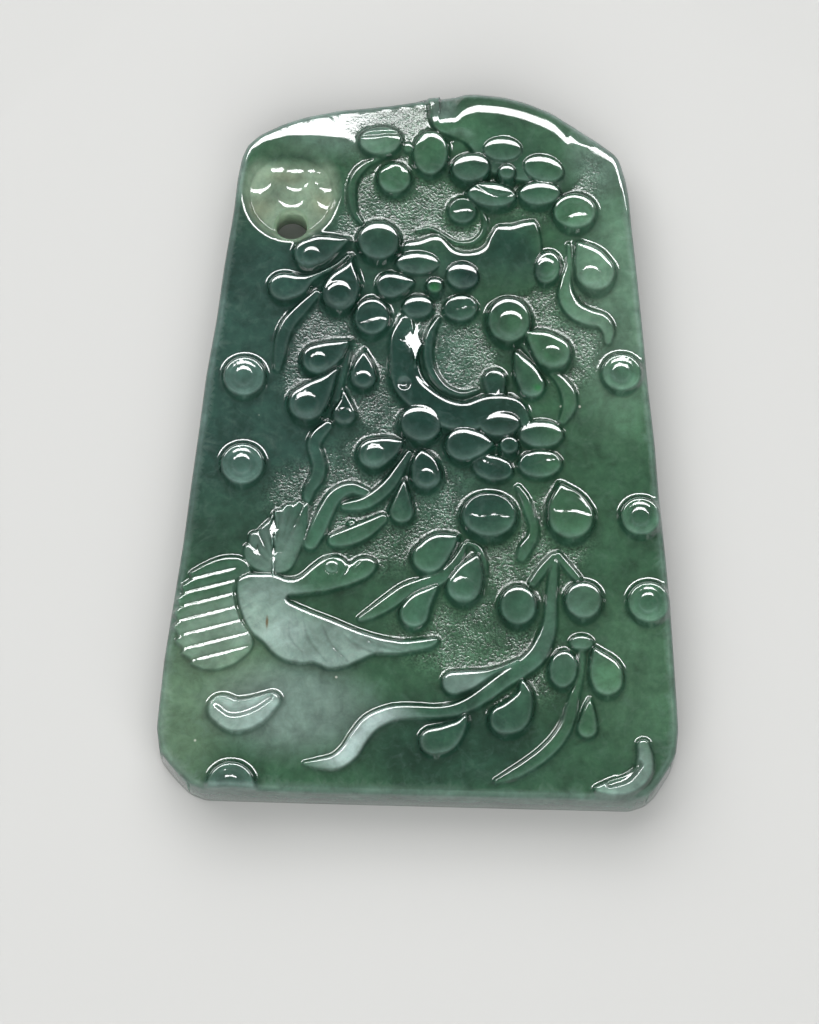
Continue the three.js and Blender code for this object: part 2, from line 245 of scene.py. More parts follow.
def carved_profile(inside, radius, crown_turn, hollow=1.0, brow=shoulder_angle):
    """Height of a form at a depth inside its foot line, for the radius that it has there."""
    foot = hollow * grown(foot_size, radius)
    steep = np.radians(grown(wall_steepness, radius))
    wall = grown(wall_size, radius)
    shoulder = grown(shoulder_size, radius)
    start = -foot * math.sin(foot_edge_angle)
    wall_start = start + foot * np.sin(steep)
    wall_end = wall_start + wall
    crown_start = wall_end + shoulder * (np.sin(steep) - math.sin(brow))
    wall_foot = foot * (1 - np.cos(steep))
    wall_top = wall_foot + wall * np.tan(steep)
    crown_foot = wall_top + shoulder * (math.cos(brow) - np.cos(steep))
    rising = np.clip((inside - start) / foot, 0, 1)
    hollowed = foot * (1 - np.sqrt(1 - np.minimum(rising, np.sin(steep)) ** 2))
    straight = wall_foot + (inside - wall_start) * np.tan(steep)
    turned = np.clip(np.sin(steep) - (inside - wall_end) / shoulder, 0, 1)
    rounded = wall_top + shoulder * (np.sqrt(1 - turned**2) - np.cos(steep))
    crown_width = np.maximum(radius - crown_start, least_radius)
    from_crest = np.clip((radius - inside) / crown_width, 0, 1)
    crown_rise = math.tan(brow) * crown_width / (crown_turn + 1)
    crown = crown_foot + crown_rise * (1 - from_crest ** (crown_turn + 1))
    height = np.where(inside < wall_start, hollowed, straight)
    height = np.where(inside > wall_end, rounded, height)
    return np.where(inside > crown_start, crown, height)


def bent(points, spacing=0.22):
    """A smooth path of (x, y, radius) through the points given."""
    points = np.asarray(points, float)
    if len(points) == 1:
        return np.repeat(points, 2, axis=0) + np.array([[0, 0, 0], [1e-4, 0, 0]])
    if len(points) == 2:
        return points
    ends = np.vstack([2 * points[0] - points[1], points, 2 * points[-1] - points[-2]])
    pieces = []
    for before, start, end, after in zip(ends[:-3], ends[1:-2], ends[2:-1], ends[3:]):
        steps = max(4, int(np.hypot(*(end - start)[:2]) / spacing))
        t = np.linspace(0, 1, steps, endpoint=False)[:, None]
        pieces.append(
            0.5 * (2 * start + (end - before) * t + (2 * before - 5 * start + 4 * end - after) * t**2
                   + (3 * start - before - 3 * end + after) * t**3)
        )
    path = np.vstack(pieces + [points[-1:]])
    path[:, 2] = np.maximum(path[:, 2], least_radius)
    return path


def inside_path(x, y, path):
    """How deep each place lies inside the form along a path, the radius there, and the share of the way
    along."""
    deepest = np.full(x.shape, -far_away)
    radius_there = np.full(x.shape, 0.1)
    station = np.zeros(x.shape)
    steps = len(path) - 1
    for step, ((ax, ay, ar), (bx, by, br)) in enumerate(zip(path[:-1], path[1:])):
        length = max(math.hypot(bx - ax, by - ay), 1e-6)
        cx, cy = (bx - ax) / length, (by - ay) / length
        forward_part = (x - ax) * cx + (y - ay) * cy
        sideways = abs((y - ay) * cx - (x - ax) * cy)
        taper = np.clip((br - ar) / length, -most_taper, most_taper)
        share = np.clip((forward_part + sideways * taper / math.sqrt(1 - taper**2)) / length, 0, 1)
        radius = ar + (br - ar) * share
        distance = np.hypot(forward_part - share * length, sideways)
        depth = radius - np.sqrt(distance**2 + crest_easing**2)
        better = depth > deepest
        deepest = np.where(better, depth, deepest)
        radius_there = np.where(better, radius, radius_there)
        station = np.where(better, (step + share) / steps, station)
    return deepest, radius_there, station


def around(path, margin):
    """Which places of the face lie near a path."""
    reach = path[:, 2] + margin
    return (
        (face_x > (path[:, 0] - reach).min()) & (face_x < (path[:, 0] + reach).max())
        & (face_y > (path[:, 1] - reach).min()) & (face_y < (path[:, 1] + reach).max())
    )


def blend_up(lower, upper):
    """The higher of two surfaces, with the crease between them eased."""
    share = np.clip(np.minimum(lower, upper) / (2 * crease_easing), 0, 1)
    width = crease_easing * eased(share) + 1e-9
    overlap = np.clip(width - abs(lower - upper), 0, None)
    return np.maximum(lower, upper) + overlap**2 / (4 * width)


def raise_form(*points, tall=1.0, lift=0.0, crown=1.6, hollow=1.0, brow=shoulder_angle, lean=(0, 0)):
    """Leaves one form standing on the ground, or on a raised bed when it has some lift. A low crown value
    gives it a roof-like back and a high one a flat top, hollow is the size of its foot, brow is how far its
    crown turns over at the edge, and lean tips its top one way. Several values of tall are its height at
    even places along its path."""
    path = bent(points)
    near = around(path, foot_reach)
    x, y = face_x[near], face_y[near]
    inside, radius, station = inside_path(x, y, path)
    widest = path[:, 2].max()
    if widest > leaf_radius:
        radius = np.full(radius.shape, widest)
    talls = tall if isinstance(tall, tuple) else (tall, tall)
    height = carved_profile(inside, radius, crown, hollow, brow)
    height = height * np.interp(station, np.linspace(0, 1, len(talls)), talls)
    if lift:
        bed = np.clip((inside + bed_start) / bed_width, 0, 1)
        height = height + lift * eased(bed)
    if lean != (0, 0):
        middle_x, middle_y = np.average(path[:, :2], axis=0, weights=path[:, 2] ** 2)
        on_top = eased(np.clip(inside / lean_width, 0, 1))
        height = height + (lean[0] * (x - middle_x) + lean[1] * (y - middle_y)) * on_top
    relief[near] = blend_up(relief[near], height)


def raise_dome(x, y, radius, rise, power=3):
    """A small extra swelling on top of a bud or leaf, with its own clear edge."""
    share = np.clip(np.hypot(face_x - x, face_y - y) / radius, 0, 1)
    swelling = rise * (1 - share**power)
    easing = np.clip((1 - share) / dome_edge, 0, 1)
    relief[:] += swelling * easing * (2 - easing)


balls = [
    (-15.5, 4.7, 2.1), (-15.4, -3.1, 2.15), (-15.4, -31.0, 2.3),
    (16.6, 5.9, 2.0), (18.4, -6.8, 2.0), (19.2, -14.3, 2.1),
]
for x, y, radius in balls:
    raise_form((x, y, radius), tall=0.82, crown=1.5, brow=ball_angle)
    raise_dome(x - 0.05, y - 0.1, 0.66 * radius, 0.07, power=6)
    raise_dome(x - 0.05, y - 0.15, 0.42 * radius, 0.09, power=5)

# Buds and curls at the top, between the roundel and the upper blossom. They are rounded by hand after the
# wheel, a groove or a low step is cut across some of them, and thin stems curl round the frosted ground.
step_slope = 0.64
step_wave = 0.1
step_ends = 0.45
groove_reach = 0.3
groove_bed = 0.15


def raise_oval(x, y, half_long, half_short, turn=0, **finish):
    """An oval petal or bud, turned anticlockwise from the across direction by some degrees."""
    reach_squared = half_long**2 - half_short**2
    shares = np.linspace(-1, 1, 7)
    stations = shares * reach_squared / half_long
    radii = half_short * np.sqrt(1 - stations**2 / reach_squared)
    cosine, sine = math.cos(math.radians(turn)), math.sin(math.radians(turn))
    raise_form(*[(x + s * cosine, y + s * sine, r) for s, r in zip(stations, radii)], **finish)


def cut_groove(*points, depth=0.2, keen=0.0):
    """Grinds a groove as wide as the path's radius, with a rounded bed, or with a keen one as by a saw."""
    path = bent(points)
    near = around(path, groove_reach)
    inside, radius, _ = inside_path(face_x[near], face_y[near], path)
    share = np.clip(inside / radius + groove_bed, 0, 1)
    relief[near] -= depth * (share**keen if keen else eased(share))


def step_back(x, y, radius, turn=0.0, width=0.55):
    """Grinds the far half of a bud or petal a little lower, which leaves a soft step across its middle."""
    cosine, sine = math.cos(math.radians(turn)), math.sin(math.radians(turn))
    beyond = (face_y - y) * cosine - (face_x - x) * sine - step_wave * np.sin(2.6 * (face_x - x) + 0.6)
    lowered = np.clip(beyond / width + 0.5, 0, 1)
    share = np.clip((radius - np.hypot(face_x - x, face_y - y)) / step_ends, 0, 1)
    relief[:] -= step_slope * width * lowered**2 * (1 - 2 * lowered / 3) * eased(share)


raise_oval(-4.5, 26.35, 2.1, 1.65, 5, tall=0.9, crown=1.5)
cut_groove((-6.0, 26.7, 0.25), (-4.5, 26.85, 0.3), (-3.0, 27.0, 0.25), depth=0.16)
raise_oval(-0.15, 25.3, 2.35, 1.8, 90, crown=1.6, tall=0.9, lean=(0.03, 0))
raise_form((-3.2, 22.9, 1.7), crown=2.2, tall=0.9)
raise_form((-2.1, 25.9, 0.6), tall=0.8)
raise_form(
    (-4.4, 24.9, 0.3), (-5.4, 24.4, 0.4), (-6.3, 23.6, 0.5), (-6.8, 22.4, 0.5),
    (-6.8, 21.0, 0.5), (-6.5, 19.8, 0.4), (-5.9, 18.9, 0.3),
)
raise_form((-4.4, 17.15, 2.1), crown=1.8, tall=0.95)
raise_form((2.7, 20.2, 1.45), tall=0.75, crown=3)
step_back(2.7, 20.1, 1.2, width=0.35)
raise_form(
    (4.3, 20.4, 0.25), (4.7, 19.3, 0.35), (4.4, 18.1, 0.35), (3.5, 17.4, 0.3),
    (2.3, 17.4, 0.25), (1.0, 18.1, 0.25), (0.0, 18.6, 0.25), (-1.2, 18.4, 0.2), tall=0.8,
)

# Cloud scroll along the arch at the top right: a broad smooth swelling of the stone with a waved lower side,
# polished bright. A shallow dimple is ground in where its end turns in.
cloud_dimple = 0.35


def raise_plateau(corners, radius=1.3, tall=1.0, crown=1.0, hollow=1.0, sinks=None):
    """A level mass inside a closed outline, with the same foot, wall and shoulder as any other form. When it
    sinks, it fades into the ground from the second place given to the first."""
    corners = np.asarray(corners, float)
    closed = np.vstack([corners[-2:], corners, corners[:3]])
    closed = np.column_stack([closed, np.full(len(closed), radius)])
    line = bent(closed)[:, :2]
    near = around(closed, foot_reach)
    x, y = face_x[near], face_y[near]
    distance = np.full(x.shape, far_away)
    crossings = np.zeros(x.shape, int)
    first = int(np.argmin(np.hypot(*(line - corners[0]).T)))
    last = len(line) - 1 - int(np.argmin(np.hypot(*(line[::-1] - corners[0]).T)))
    loop = line[first:last + 1]
    for (ax, ay), (bx, by) in zip(loop[:-1], loop[1:]):
        span = max((bx - ax) ** 2 + (by - ay) ** 2, 1e-12)
        share = np.clip(((x - ax) * (bx - ax) + (y - ay) * (by - ay)) / span, 0, 1)
        distance = np.minimum(distance, np.hypot(x - ax - share * (bx - ax), y - ay - share * (by - ay)))
        straddles = (ay > y) != (by > y)
        crossings += straddles & (x < ax + (y - ay) * (bx - ax) / (by - ay if by != ay else 1e-12))
    inside = np.where(crossings % 2 == 1, distance, -distance)
    height = tall * carved_profile(np.minimum(inside, radius), np.full(x.shape, radius), crown, hollow)
    if sinks:
        (low_x, low_y), (high_x, high_y) = sinks
        run_x, run_y = high_x - low_x, high_y - low_y
        share = np.clip(((x - low_x) * run_x + (y - low_y) * run_y) / (run_x**2 + run_y**2), 0, 1)
        height *= eased(share)
    relief[near] = blend_up(relief[near], height)


raise_plateau(
    [(-0.6, 33.0), (4.0, 33.0), (9.0, 32.0), (13.0, 30.0), (14.6, 27.6), (14.4, 23.8), (12.6, 22.2),
     (11.0, 21.9), (9.0, 22.6), (6.0, 23.2), (4.0, 24.2), (3.3, 25.6), (2.6, 26.4), (1.6, 26.8),
     (0.4, 27.2), (-0.3, 28.2), (-0.6, 29.8)],
    radius=1.7, tall=0.8, crown=1.3, hollow=0.4, sinks=((13.6, 24.8), (10.6, 25.6)),
)
relief[:] -= cloud_dimple * np.clip(1 - np.hypot((face_x - 2.4) / 1.2, (face_y - 26.9) / 0.8), 0, 1)

# Upper blossom: five petals about a small round heart, carved out of the swelling of the cloud, with a
# large bud at its right. A groove is cut along the nearest petal, and a step across the bud.
petal = {"crown": 1.0, "hollow": 0.5}
raise_oval(6.05, 25.75, 1.85, 1.3, 0, lift=0.5, tall=0.85, **petal)
raise_oval(3.35, 24.0, 1.85, 1.5, 12, lift=0.45, tall=0.95, **petal)
raise_oval(9.6, 24.1, 1.95, 1.4, -15, lift=0.45, tall=0.85, **petal)
raise_oval(5.2, 21.6, 2.25, 1.3, -5, lift=0.4, tall=0.95, **petal)
raise_oval(9.3, 21.85, 1.95, 1.3, 5, lift=0.4, tall=0.95, **petal)
cut_groove((3.9, 22.3, 0.2), (4.9, 21.7, 0.24), (5.9, 21.4, 0.24), (6.9, 21.6, 0.2), depth=0.12)
raise_form((6.45, 23.6, 0.85), lift=0.85, crown=0.8, hollow=0.5)
raise_oval(12.35, 20.3, 2.15, 1.95, 0, crown=3)
step_back(12.2, 19.7, 1.6, turn=12)

# The old trunk. Its top is a smooth mass with a waved edge, and below the middle blossom it is a thick
# twisted stem with a sharp inner rim. Where two of its curves meet, the polish leaves a bright star.
facet_hollow = 0.72
facet_edge = 5


def star_facet(x, y, half_wide, half_tall, slope=0.29):
    """A bright facet with hollow sides and sharp points, ground flat so that it falls towards the arch."""
    reach = (abs(face_x - x) / half_wide) ** facet_hollow + (abs(face_y - y) / half_tall) ** facet_hollow
    share = eased(np.clip((1 - reach) * facet_edge, 0, 1))
    level = relief[np.argmin(np.hypot(face_x - x, face_y - y))]
    relief[:] = relief * (1 - share) + (level - slope * (face_y - y)) * share


raise_plateau(
    [(-2.4, 17.0), (-0.8, 17.7), (0.3, 18.1), (1.1, 17.9), (2.1, 16.9), (3.0, 16.65), (4.0, 16.8),
     (4.7, 17.3), (5.1, 18.2), (5.7, 19.1), (7.0, 19.25), (8.2, 19.6), (9.2, 19.4), (9.7, 17.0),
     (9.4, 14.0), (7.6, 12.4), (4.0, 12.0), (0.0, 12.6), (-2.0, 14.0)],
    radius=1.2, tall=0.85, crown=1.3, hollow=0.3, sinks=((4, 11.0), (4, 16.5)),
)
raise_form(
    (-1.9, 10.0, 0.9), (-2.1, 8.4, 1.35), (-2.0, 6.5, 1.45), (-1.7, 4.6, 1.5), (-0.4, 3.1, 1.5),
    (1.6, 1.9, 1.55), (3.6, 1.6, 1.6), (5.6, 2.4, 1.5), (7.4, 2.4, 1.3), (8.4, 1.4, 0.8),
    tall=(0.5, 0.8, 1.0, 1.0, 0.95, 0.7), crown=3,
)
raise_form((-0.75, 9.9, 0.3), (-0.95, 8.0, 0.4), (-0.95, 6.4, 0.45), (-0.6, 5.1, 0.45), (0.1, 4.2, 0.45),
           (1.2, 3.3, 0.4), (3.0, 2.8, 0.35), tall=(0.7, 1.6, 1.9, 1.9, 1.5), crown=1)
star_facet(-1.5, 8.35, 1.35, 1.3)
star_facet(-1.0, 8.0, 0.8, 2.7)
raise_form(
    (0.9, 10.5, 0.3), (0.3, 9.2, 0.5), (0.05, 7.8, 0.55), (0.2, 6.3, 0.55),
    (0.85, 5.0, 0.5), (1.8, 4.1, 0.45), (3.1, 3.7, 0.4), (4.3, 4.1, 0.3),
    tall=(1.1, 1.3, 1.2, 1.1, 1.0), crown=1,
)
raise_form((5.8, 5.0, 1.2), (6.0, 3.6, 0.9), tall=0.85, crown=2)
round_turns = np.linspace(0, 2 * math.pi, 13)
cut_groove(*[(5.95 + 0.68 * math.cos(t), 5.15 + 0.5 * math.sin(t), 0.13) for t in round_turns], depth=0.09)
raise_oval(-0.4, 0.85, 2.1, 1.95, -20, crown=1.8)

# Middle blossom: five petals about a heart of brighter green, with two buds beside it. One petal and the
# left bud have a low step across them, and the right bud a small dome.
raise_oval(-1.0, 15.3, 2.05, 1.25, 0, lift=0.15, **petal)
raise_oval(2.85, 14.25, 1.6, 1.45, -10, lift=0.15, **petal)
raise_form((-3.3, 13.25, 1.4), (-2.5, 13.4, 1.1), (-1.5, 13.6, 0.5), hollow=0.6, crown=1.8)
raise_oval(-0.9, 11.4, 1.5, 1.25, 10, **petal)
raise_oval(2.75, 11.35, 1.65, 1.4, 10, crown=3, hollow=0.6)
step_back(2.75, 11.2, 1.5, turn=12, width=0.3)
raise_form((0.5, 13.25, 0.85), lift=0.5, crown=0.8, hollow=0.5)
raise_oval(-4.8, 10.3, 2.0, 1.8, 90, crown=4)
step_back(-4.7, 9.9, 1.5, turn=10, width=0.45)
raise_oval(6.9, 10.3, 2.4, 2.15, 90, crown=3)
raise_dome(7.05, 9.8, 1.2, 0.16)

# Leaves on the upper left branch, and the stems that curl down from them. Each leaf is a drop with a
# second, smaller swelling on its thick end, as the carver's ball tool leaves it.
raise_form((-10.3, 15.9, 1.6), (-9.2, 16.4, 1.45), (-7.0, 17.2, 0.4), crown=3)
raise_dome(-10.1, 15.5, 0.9, 0.12)
raise_form((-12.4, 12.8, 1.55), (-11.2, 13.0, 1.2), (-10.0, 13.7, 0.6), (-8.3, 14.7, 0.4), (-7.0, 15.9, 0.25),
           crown=2.5)
raise_form((-7.6, 12.3, 1.85), (-7.3, 13.1, 1.7), (-6.8, 14.8, 0.65), (-6.6, 15.8, 0.3), crown=3)
raise_dome(-7.7, 12.1, 1.25, 0.18)
raise_form(
    (-9.6, 12.4, 0.5), (-10.8, 11.0, 0.7), (-11.9, 9.6, 0.75),
    (-12.4, 8.2, 0.75), (-12.6, 6.8, 0.65), (-12.7, 5.6, 0.45), crown=2,
)
raise_form((-9.3, 6.4, 1.65), (-8.3, 6.9, 1.4), (-7.3, 7.6, 0.8), (-6.5, 8.2, 0.25), crown=3)
raise_dome(-9.2, 6.1, 0.85, 0.12)
raise_form((-10.1, 2.4, 1.9), (-9.4, 3.2, 1.6), (-8.4, 4.4, 0.95), (-7.3, 6.0, 0.25), crown=3)
raise_dome(-10.1, 2.2, 1.1, 0.14)
raise_form((-5.4, 4.9, 1.35), (-5.4, 5.8, 1.1), (-5.4, 7.4, 0.25), crown=3)
raise_dome(-5.4, 4.6, 0.85, 0.12)
raise_form((-6.9, 1.6, 1.2), (-6.9, 2.8, 0.65), (-7.1, 4.0, 0.25), crown=3, tall=0.9)
raise_dome(-6.9, 1.5, 0.7, 0.08)
raise_form((-6.6, 8.0, 0.3), (-6.9, 6.2, 0.4), (-7.3, 4.4, 0.4), (-7.6, 3.0, 0.4))
raise_form(
    (-8.3, 0.6, 0.6), (-9.0, -0.2, 0.75), (-9.4, -1.2, 0.75), (-9.1, -2.2, 0.75),
    (-8.9, -3.2, 0.75), (-9.1, -4.1, 0.75), (-9.6, -5.0, 0.65), (-9.8, -5.9, 0.5), crown=1.4,
)

# Leaves and stems on the right, carved as those on the left. One stem bends like a step in the ground, and
# a thin one curls under the middle leaves.
raise_oval(10.1, 15.2, 1.75, 1.35, 80, crown=3)
raise_dome(10.0, 15.1, 0.85, 0.12)
raise_form((14.2, 14.8, 2.0), (13.7, 15.9, 1.6), (12.7, 17.4, 0.5), crown=3)
raise_dome(13.8, 14.3, 1.0, 0.12)
raise_form(
    (11.9, 17.4, 0.3), (12.0, 15.7, 0.4), (11.75, 14.2, 0.6), (11.75, 12.8, 0.85),
    (12.4, 11.6, 0.95), (13.6, 10.9, 0.95), (14.8, 10.6, 0.85), (15.4, 9.8, 0.7), (15.4, 8.8, 0.45),
)
raise_form((10.7, 7.5, 1.85), (9.8, 8.3, 1.45), (8.5, 9.2, 0.5), crown=3)
raise_dome(10.6, 7.0, 1.05, 0.12)
raise_form((9.0, 4.6, 1.35), (8.4, 5.8, 1.2), (7.6, 7.4, 0.45), crown=1.4)
raise_form(
    (8.2, 8.3, 0.35), (9.2, 7.0, 0.35), (10.3, 6.1, 0.35), (11.4, 5.2, 0.6),
    (12.1, 4.0, 0.8), (12.2, 2.8, 0.75), (11.7, 1.6, 0.5), crown=1,
)

# Lower blossom: the largest of the three, with five petals about a low round heart. The two nearest petals
# are ground back across their far halves.
raise_form((3.3, -0.9, 1.85), (4.4, -0.8, 1.4), (5.7, -0.8, 0.5), crown=2)
raise_oval(6.3, 1.0, 1.95, 1.3, 5, lift=0.4, tall=0.95, **petal)
raise_oval(9.85, 0.3, 2.1, 1.45, 0, **petal)
raise_oval(9.8, -2.35, 2.05, 1.45, 5, crown=3, hollow=0.5)
step_back(9.8, -2.3, 1.6, turn=14, width=0.35)
raise_oval(5.8, -2.8, 1.95, 1.35, -10, crown=3, hollow=0.5)
step_back(6.0, -2.7, 1.4, turn=-30, width=0.35)
raise_form((7.15, -0.85, 0.95), lift=0.5, crown=3, hollow=0.6)

# Middle leaves and the stems between them, with the large round bud and the drop beside it. Both of those
# have a step across the middle.
raise_form((-4.3, -1.9, 1.65), (-3.2, -1.4, 1.3), (-1.9, -0.8, 0.45), crown=3)
raise_dome(-4.2, -2.1, 0.95, 0.14)
raise_form((0.2, -3.7, 1.55), (0.0, -2.7, 1.3), (-0.3, -1.4, 0.35), crown=3)
raise_dome(0.2, -4.0, 0.9, 0.12)
raise_form((-1.8, -6.9, 1.25), (-1.75, -5.6, 0.85), (-1.65, -4.0, 0.3), crown=3)
raise_form(
    (-1.3, -1.6, 0.4), (-2.0, -3.0, 0.6), (-2.7, -4.2, 0.7),
    (-3.7, -5.3, 0.75), (-5.0, -6.2, 0.75), (-6.6, -6.5, 0.55),
)
raise_form((-3.4, -7.5, 0.6), (-4.8, -8.5, 0.95), (-6.2, -9.2, 1.0), (-7.4, -9.5, 0.75), crown=2)
raise_form((-6.0, -8.0, 0.5), tall=0.8)
raise_oval(5.6, -7.1, 2.65, 2.3, 0, crown=4)
step_back(5.6, -7.2, 2.1, width=0.45)
raise_form((12.5, -7.1, 2.25), (12.2, -6.2, 1.9), (11.6, -4.2, 0.45), crown=3)
step_back(12.5, -6.7, 1.9, turn=-6, width=0.45)
raise_form(
    (8.0, -4.4, 0.35), (8.6, -5.4, 0.5), (9.0, -6.6, 0.55), (9.4, -7.8, 0.55),
    (9.3, -8.8, 0.6), (8.7, -9.8, 0.7), (8.4, -10.6, 0.5), tall=0.85,
)
raise_form((0.6, -10.9, 1.7), (1.5, -9.9, 1.45), (2.8, -9.1, 0.55), crown=2.5)
raise_form((3.6, -13.4, 1.75), (4.1, -12.2, 1.4), (4.7, -10.6, 0.45), crown=3)
raise_dome(3.6, -13.6, 1.1, 0.13)
raise_form((3.9, -9.4, 0.3), (4.7, -9.8, 0.4), (5.1, -10.8, 0.5), (5.3, -12.0, 0.45))
raise_form((-0.5, -15.8, 1.5), (0.0, -14.8, 1.2), (1.3, -13.4, 0.45), crown=2.5)
raise_form(
    (3.6, -9.6, 0.35), (3.1, -10.8, 0.55), (2.3, -12.0, 0.75), (1.2, -12.8, 0.8), (0.0, -13.2, 0.75),
    (-1.3, -13.8, 0.8), (-2.6, -14.8, 0.8), (-3.9, -15.7, 0.65), (-5.0, -16.3, 0.4),
)

# The long tendril and the buds that hang on it. It is one stem that runs from the fork at the right, bends
# at the foot of the plaque and ends as a pale tip at the left.
raise_form(
    (11.2, -11.0, 0.5), (11.1, -12.5, 0.55), (11.0, -14.5, 0.65), (10.9, -16.3, 0.75), (10.5, -17.8, 0.9),
    (9.8, -19.2, 1.0), (8.6, -20.3, 0.95), (7.2, -21.3, 0.9), (5.8, -22.4, 0.85), (4.4, -23.4, 0.8),
    (3.0, -24.0, 0.75), (1.5, -24.2, 0.7), (0.0, -24.2, 0.75), (-1.6, -24.3, 0.8), (-2.9, -24.7, 0.85),
    (-4.0, -25.4, 0.9), (-4.9, -26.6, 0.9), (-5.6, -27.8, 0.9), (-6.7, -28.7, 0.8), (-8.0, -28.9, 0.6),
    (-9.3, -28.9, 0.3),
)
raise_form((11.1, -10.4, 0.45), (10.2, -11.6, 0.55), (9.4, -12.8, 0.5))
raise_oval(8.2, -14.9, 2.05, 1.85, 90, crown=2.5)
raise_form((11.5, -10.3, 0.45), (12.4, -11.4, 0.5), (13.2, -12.3, 0.45))
raise_oval(13.7, -14.3, 1.95, 1.85, 90, crown=2.5)
raise_form((3.0, -21.7, 1.25), (4.2, -21.4, 1.05), (5.6, -20.9, 0.65), (7.0, -20.3, 0.45), (8.3, -19.7, 0.45))
raise_form((7.3, -24.8, 1.6), (8.1, -24.4, 1.65), (8.9, -22.8, 1.0), (8.7, -21.4, 0.45), crown=3)
raise_form((1.4, -26.8, 1.45), (2.4, -26.5, 1.4), (3.6, -25.4, 0.8), (4.0, -24.5, 0.4), crown=2)

# The second tendril, at the bottom right, with its buds, and the curled leaf in the corner. The leaf runs
# off the cut corner and is hollowed along its back.
raise_oval(13.6, -17.9, 1.15, 0.85, 0)
raise_oval(12.1, -20.3, 1.9, 1.45, 85, crown=2.5)
raise_form((15.8, -21.2, 1.6), (15.6, -20.4, 1.6), (14.7, -18.5, 0.45), crown=2.5)
raise_form((14.2, -25.3, 1.05), (14.3, -24.0, 0.75), (14.4, -22.8, 0.3))
raise_form(
    (13.6, -18.4, 0.4), (13.7, -19.8, 0.4), (13.5, -21.2, 0.4), (13.1, -22.4, 0.55), (12.9, -23.6, 0.65),
    (12.5, -25.0, 0.7), (11.7, -26.4, 0.75), (10.6, -27.6, 0.75), (9.3, -28.6, 0.7), (8.0, -29.4, 0.6),
    (6.7, -30.0, 0.35),
)
raise_form(
    (18.9, -26.6, 0.7), (19.1, -27.8, 0.85), (18.8, -29.0, 1.0),
    (17.8, -29.9, 1.05), (16.5, -30.3, 0.9), (15.2, -30.5, 0.5), crown=3,
)
cut_groove((18.5, -28.3, 0.5), (17.5, -29.4, 0.6), (16.2, -30.0, 0.45), depth=0.35)

# A bean at the lower left: a short bent form of milky stone, with a dished back that is ground with a small
# round wheel.
raise_form((-16.3, -24.5, 1.5), (-15.2, -25.0, 1.65), (-13.7, -24.6, 1.45), (-12.2, -23.6, 0.95),
           crown=2, tall=0.85)
cut_groove((-16.6, -24.0, 0.6), (-15.5, -24.6, 0.7), (-13.9, -24.2, 0.62), (-12.5, -23.4, 0.42), depth=0.3)

# The bird: its broad tail of eight feathers is spread to the left and one wing stands up behind its head.
# Head, body and folded front wing are one smooth low swelling, and the feathers are parted by keen cuts
# with the edge of a thin wheel.
keen_cut = 1.4


def notches_between(tips, across, up):
    """Where the edge dips between one feather tip and the next, moved a little from halfway."""
    return [((ax + bx) / 2 + across, (ay + by) / 2 + up) for (ax, ay), (bx, by) in zip(tips[:-1], tips[1:])]


def scalloped(tips, notches):
    """The waved edge that runs from tip to notch to tip."""
    return [place for pair in zip(tips[:-1], notches) for place in pair] + [tips[-1]]


tail_tips = [
    (-19.5, -12.5), (-20.3, -13.8), (-20.7, -15.0), (-20.9, -16.2),
    (-20.9, -17.5), (-20.6, -18.7), (-20.1, -19.8), (-19.2, -20.7),
]
tail_partings = notches_between(tail_tips, 0.35, 0)
raise_plateau(
    [(-14.2, -12.4), (-15.2, -11.1), (-17.2, -11.2), *scalloped(tail_tips, tail_partings),
     (-17.8, -21.2), (-16.3, -21.0), (-15.0, -20.3), (-13.9, -18.9), (-14.2, -16.0)],
    radius=0.8, tall=0.85, crown=2, hollow=0.8,
)
for number, (x, y) in enumerate(tail_partings):
    quill_x = -15.7 + 0.22 * number
    quill_y = y + 0.29 * (quill_x - x)
    for wide, depth in ((0.5, 0.12), (0.17, 0.16)):
        tip = (x + 0.25, y + 0.08, 0.7 * wide)
        cut_groove(tip, (x + 1.5, y + 0.45, wide), (quill_x, quill_y, 0.8 * wide), depth=depth, keen=keen_cut)
cut_groove((-19.0, -12.6, 0.1), (-17.6, -12.0, 0.14), (-16.2, -11.8, 0.1), depth=0.12, keen=keen_cut)
raise_form((-4.9, -5.2, 0.55), (-6.2, -4.9, 0.7), (-7.4, -5.6, 0.8), (-8.2, -7.0, 0.85),
           (-8.8, -8.5, 0.9), (-9.4, -9.8, 0.8), crown=2)
wing_tips = [
    (-15.1, -10.3), (-14.6, -9.0), (-13.4, -8.1), (-12.6, -6.9), (-11.6, -6.3), (-10.5, -5.9), (-9.6, -6.2),
]
wing_partings = notches_between(wing_tips, 0.04, -0.06)
raise_plateau(
    [(-14.9, -11.6), *scalloped(wing_tips, wing_partings),
     (-9.6, -8.4), (-10.2, -10.6), (-11.2, -12.4), (-13.4, -12.6)],
    radius=0.7, tall=0.9, crown=2, hollow=0.8,
)
wing_root = (-12.4, -12.0)
from_root = 0.24
for x, y in wing_partings:
    start_x = wing_root[0] + from_root * (x - wing_root[0])
    start_y = wing_root[1] + from_root * (y - wing_root[1])
    halfway = ((x + start_x) / 2, (y + start_y) / 2)
    for wide, depth in ((0.4, 0.13), (0.15, 0.15)):
        cut_groove((x, y - 0.1, wide), (*halfway, wide), (start_x, start_y, 0.5 * wide),
                   depth=depth, keen=keen_cut)
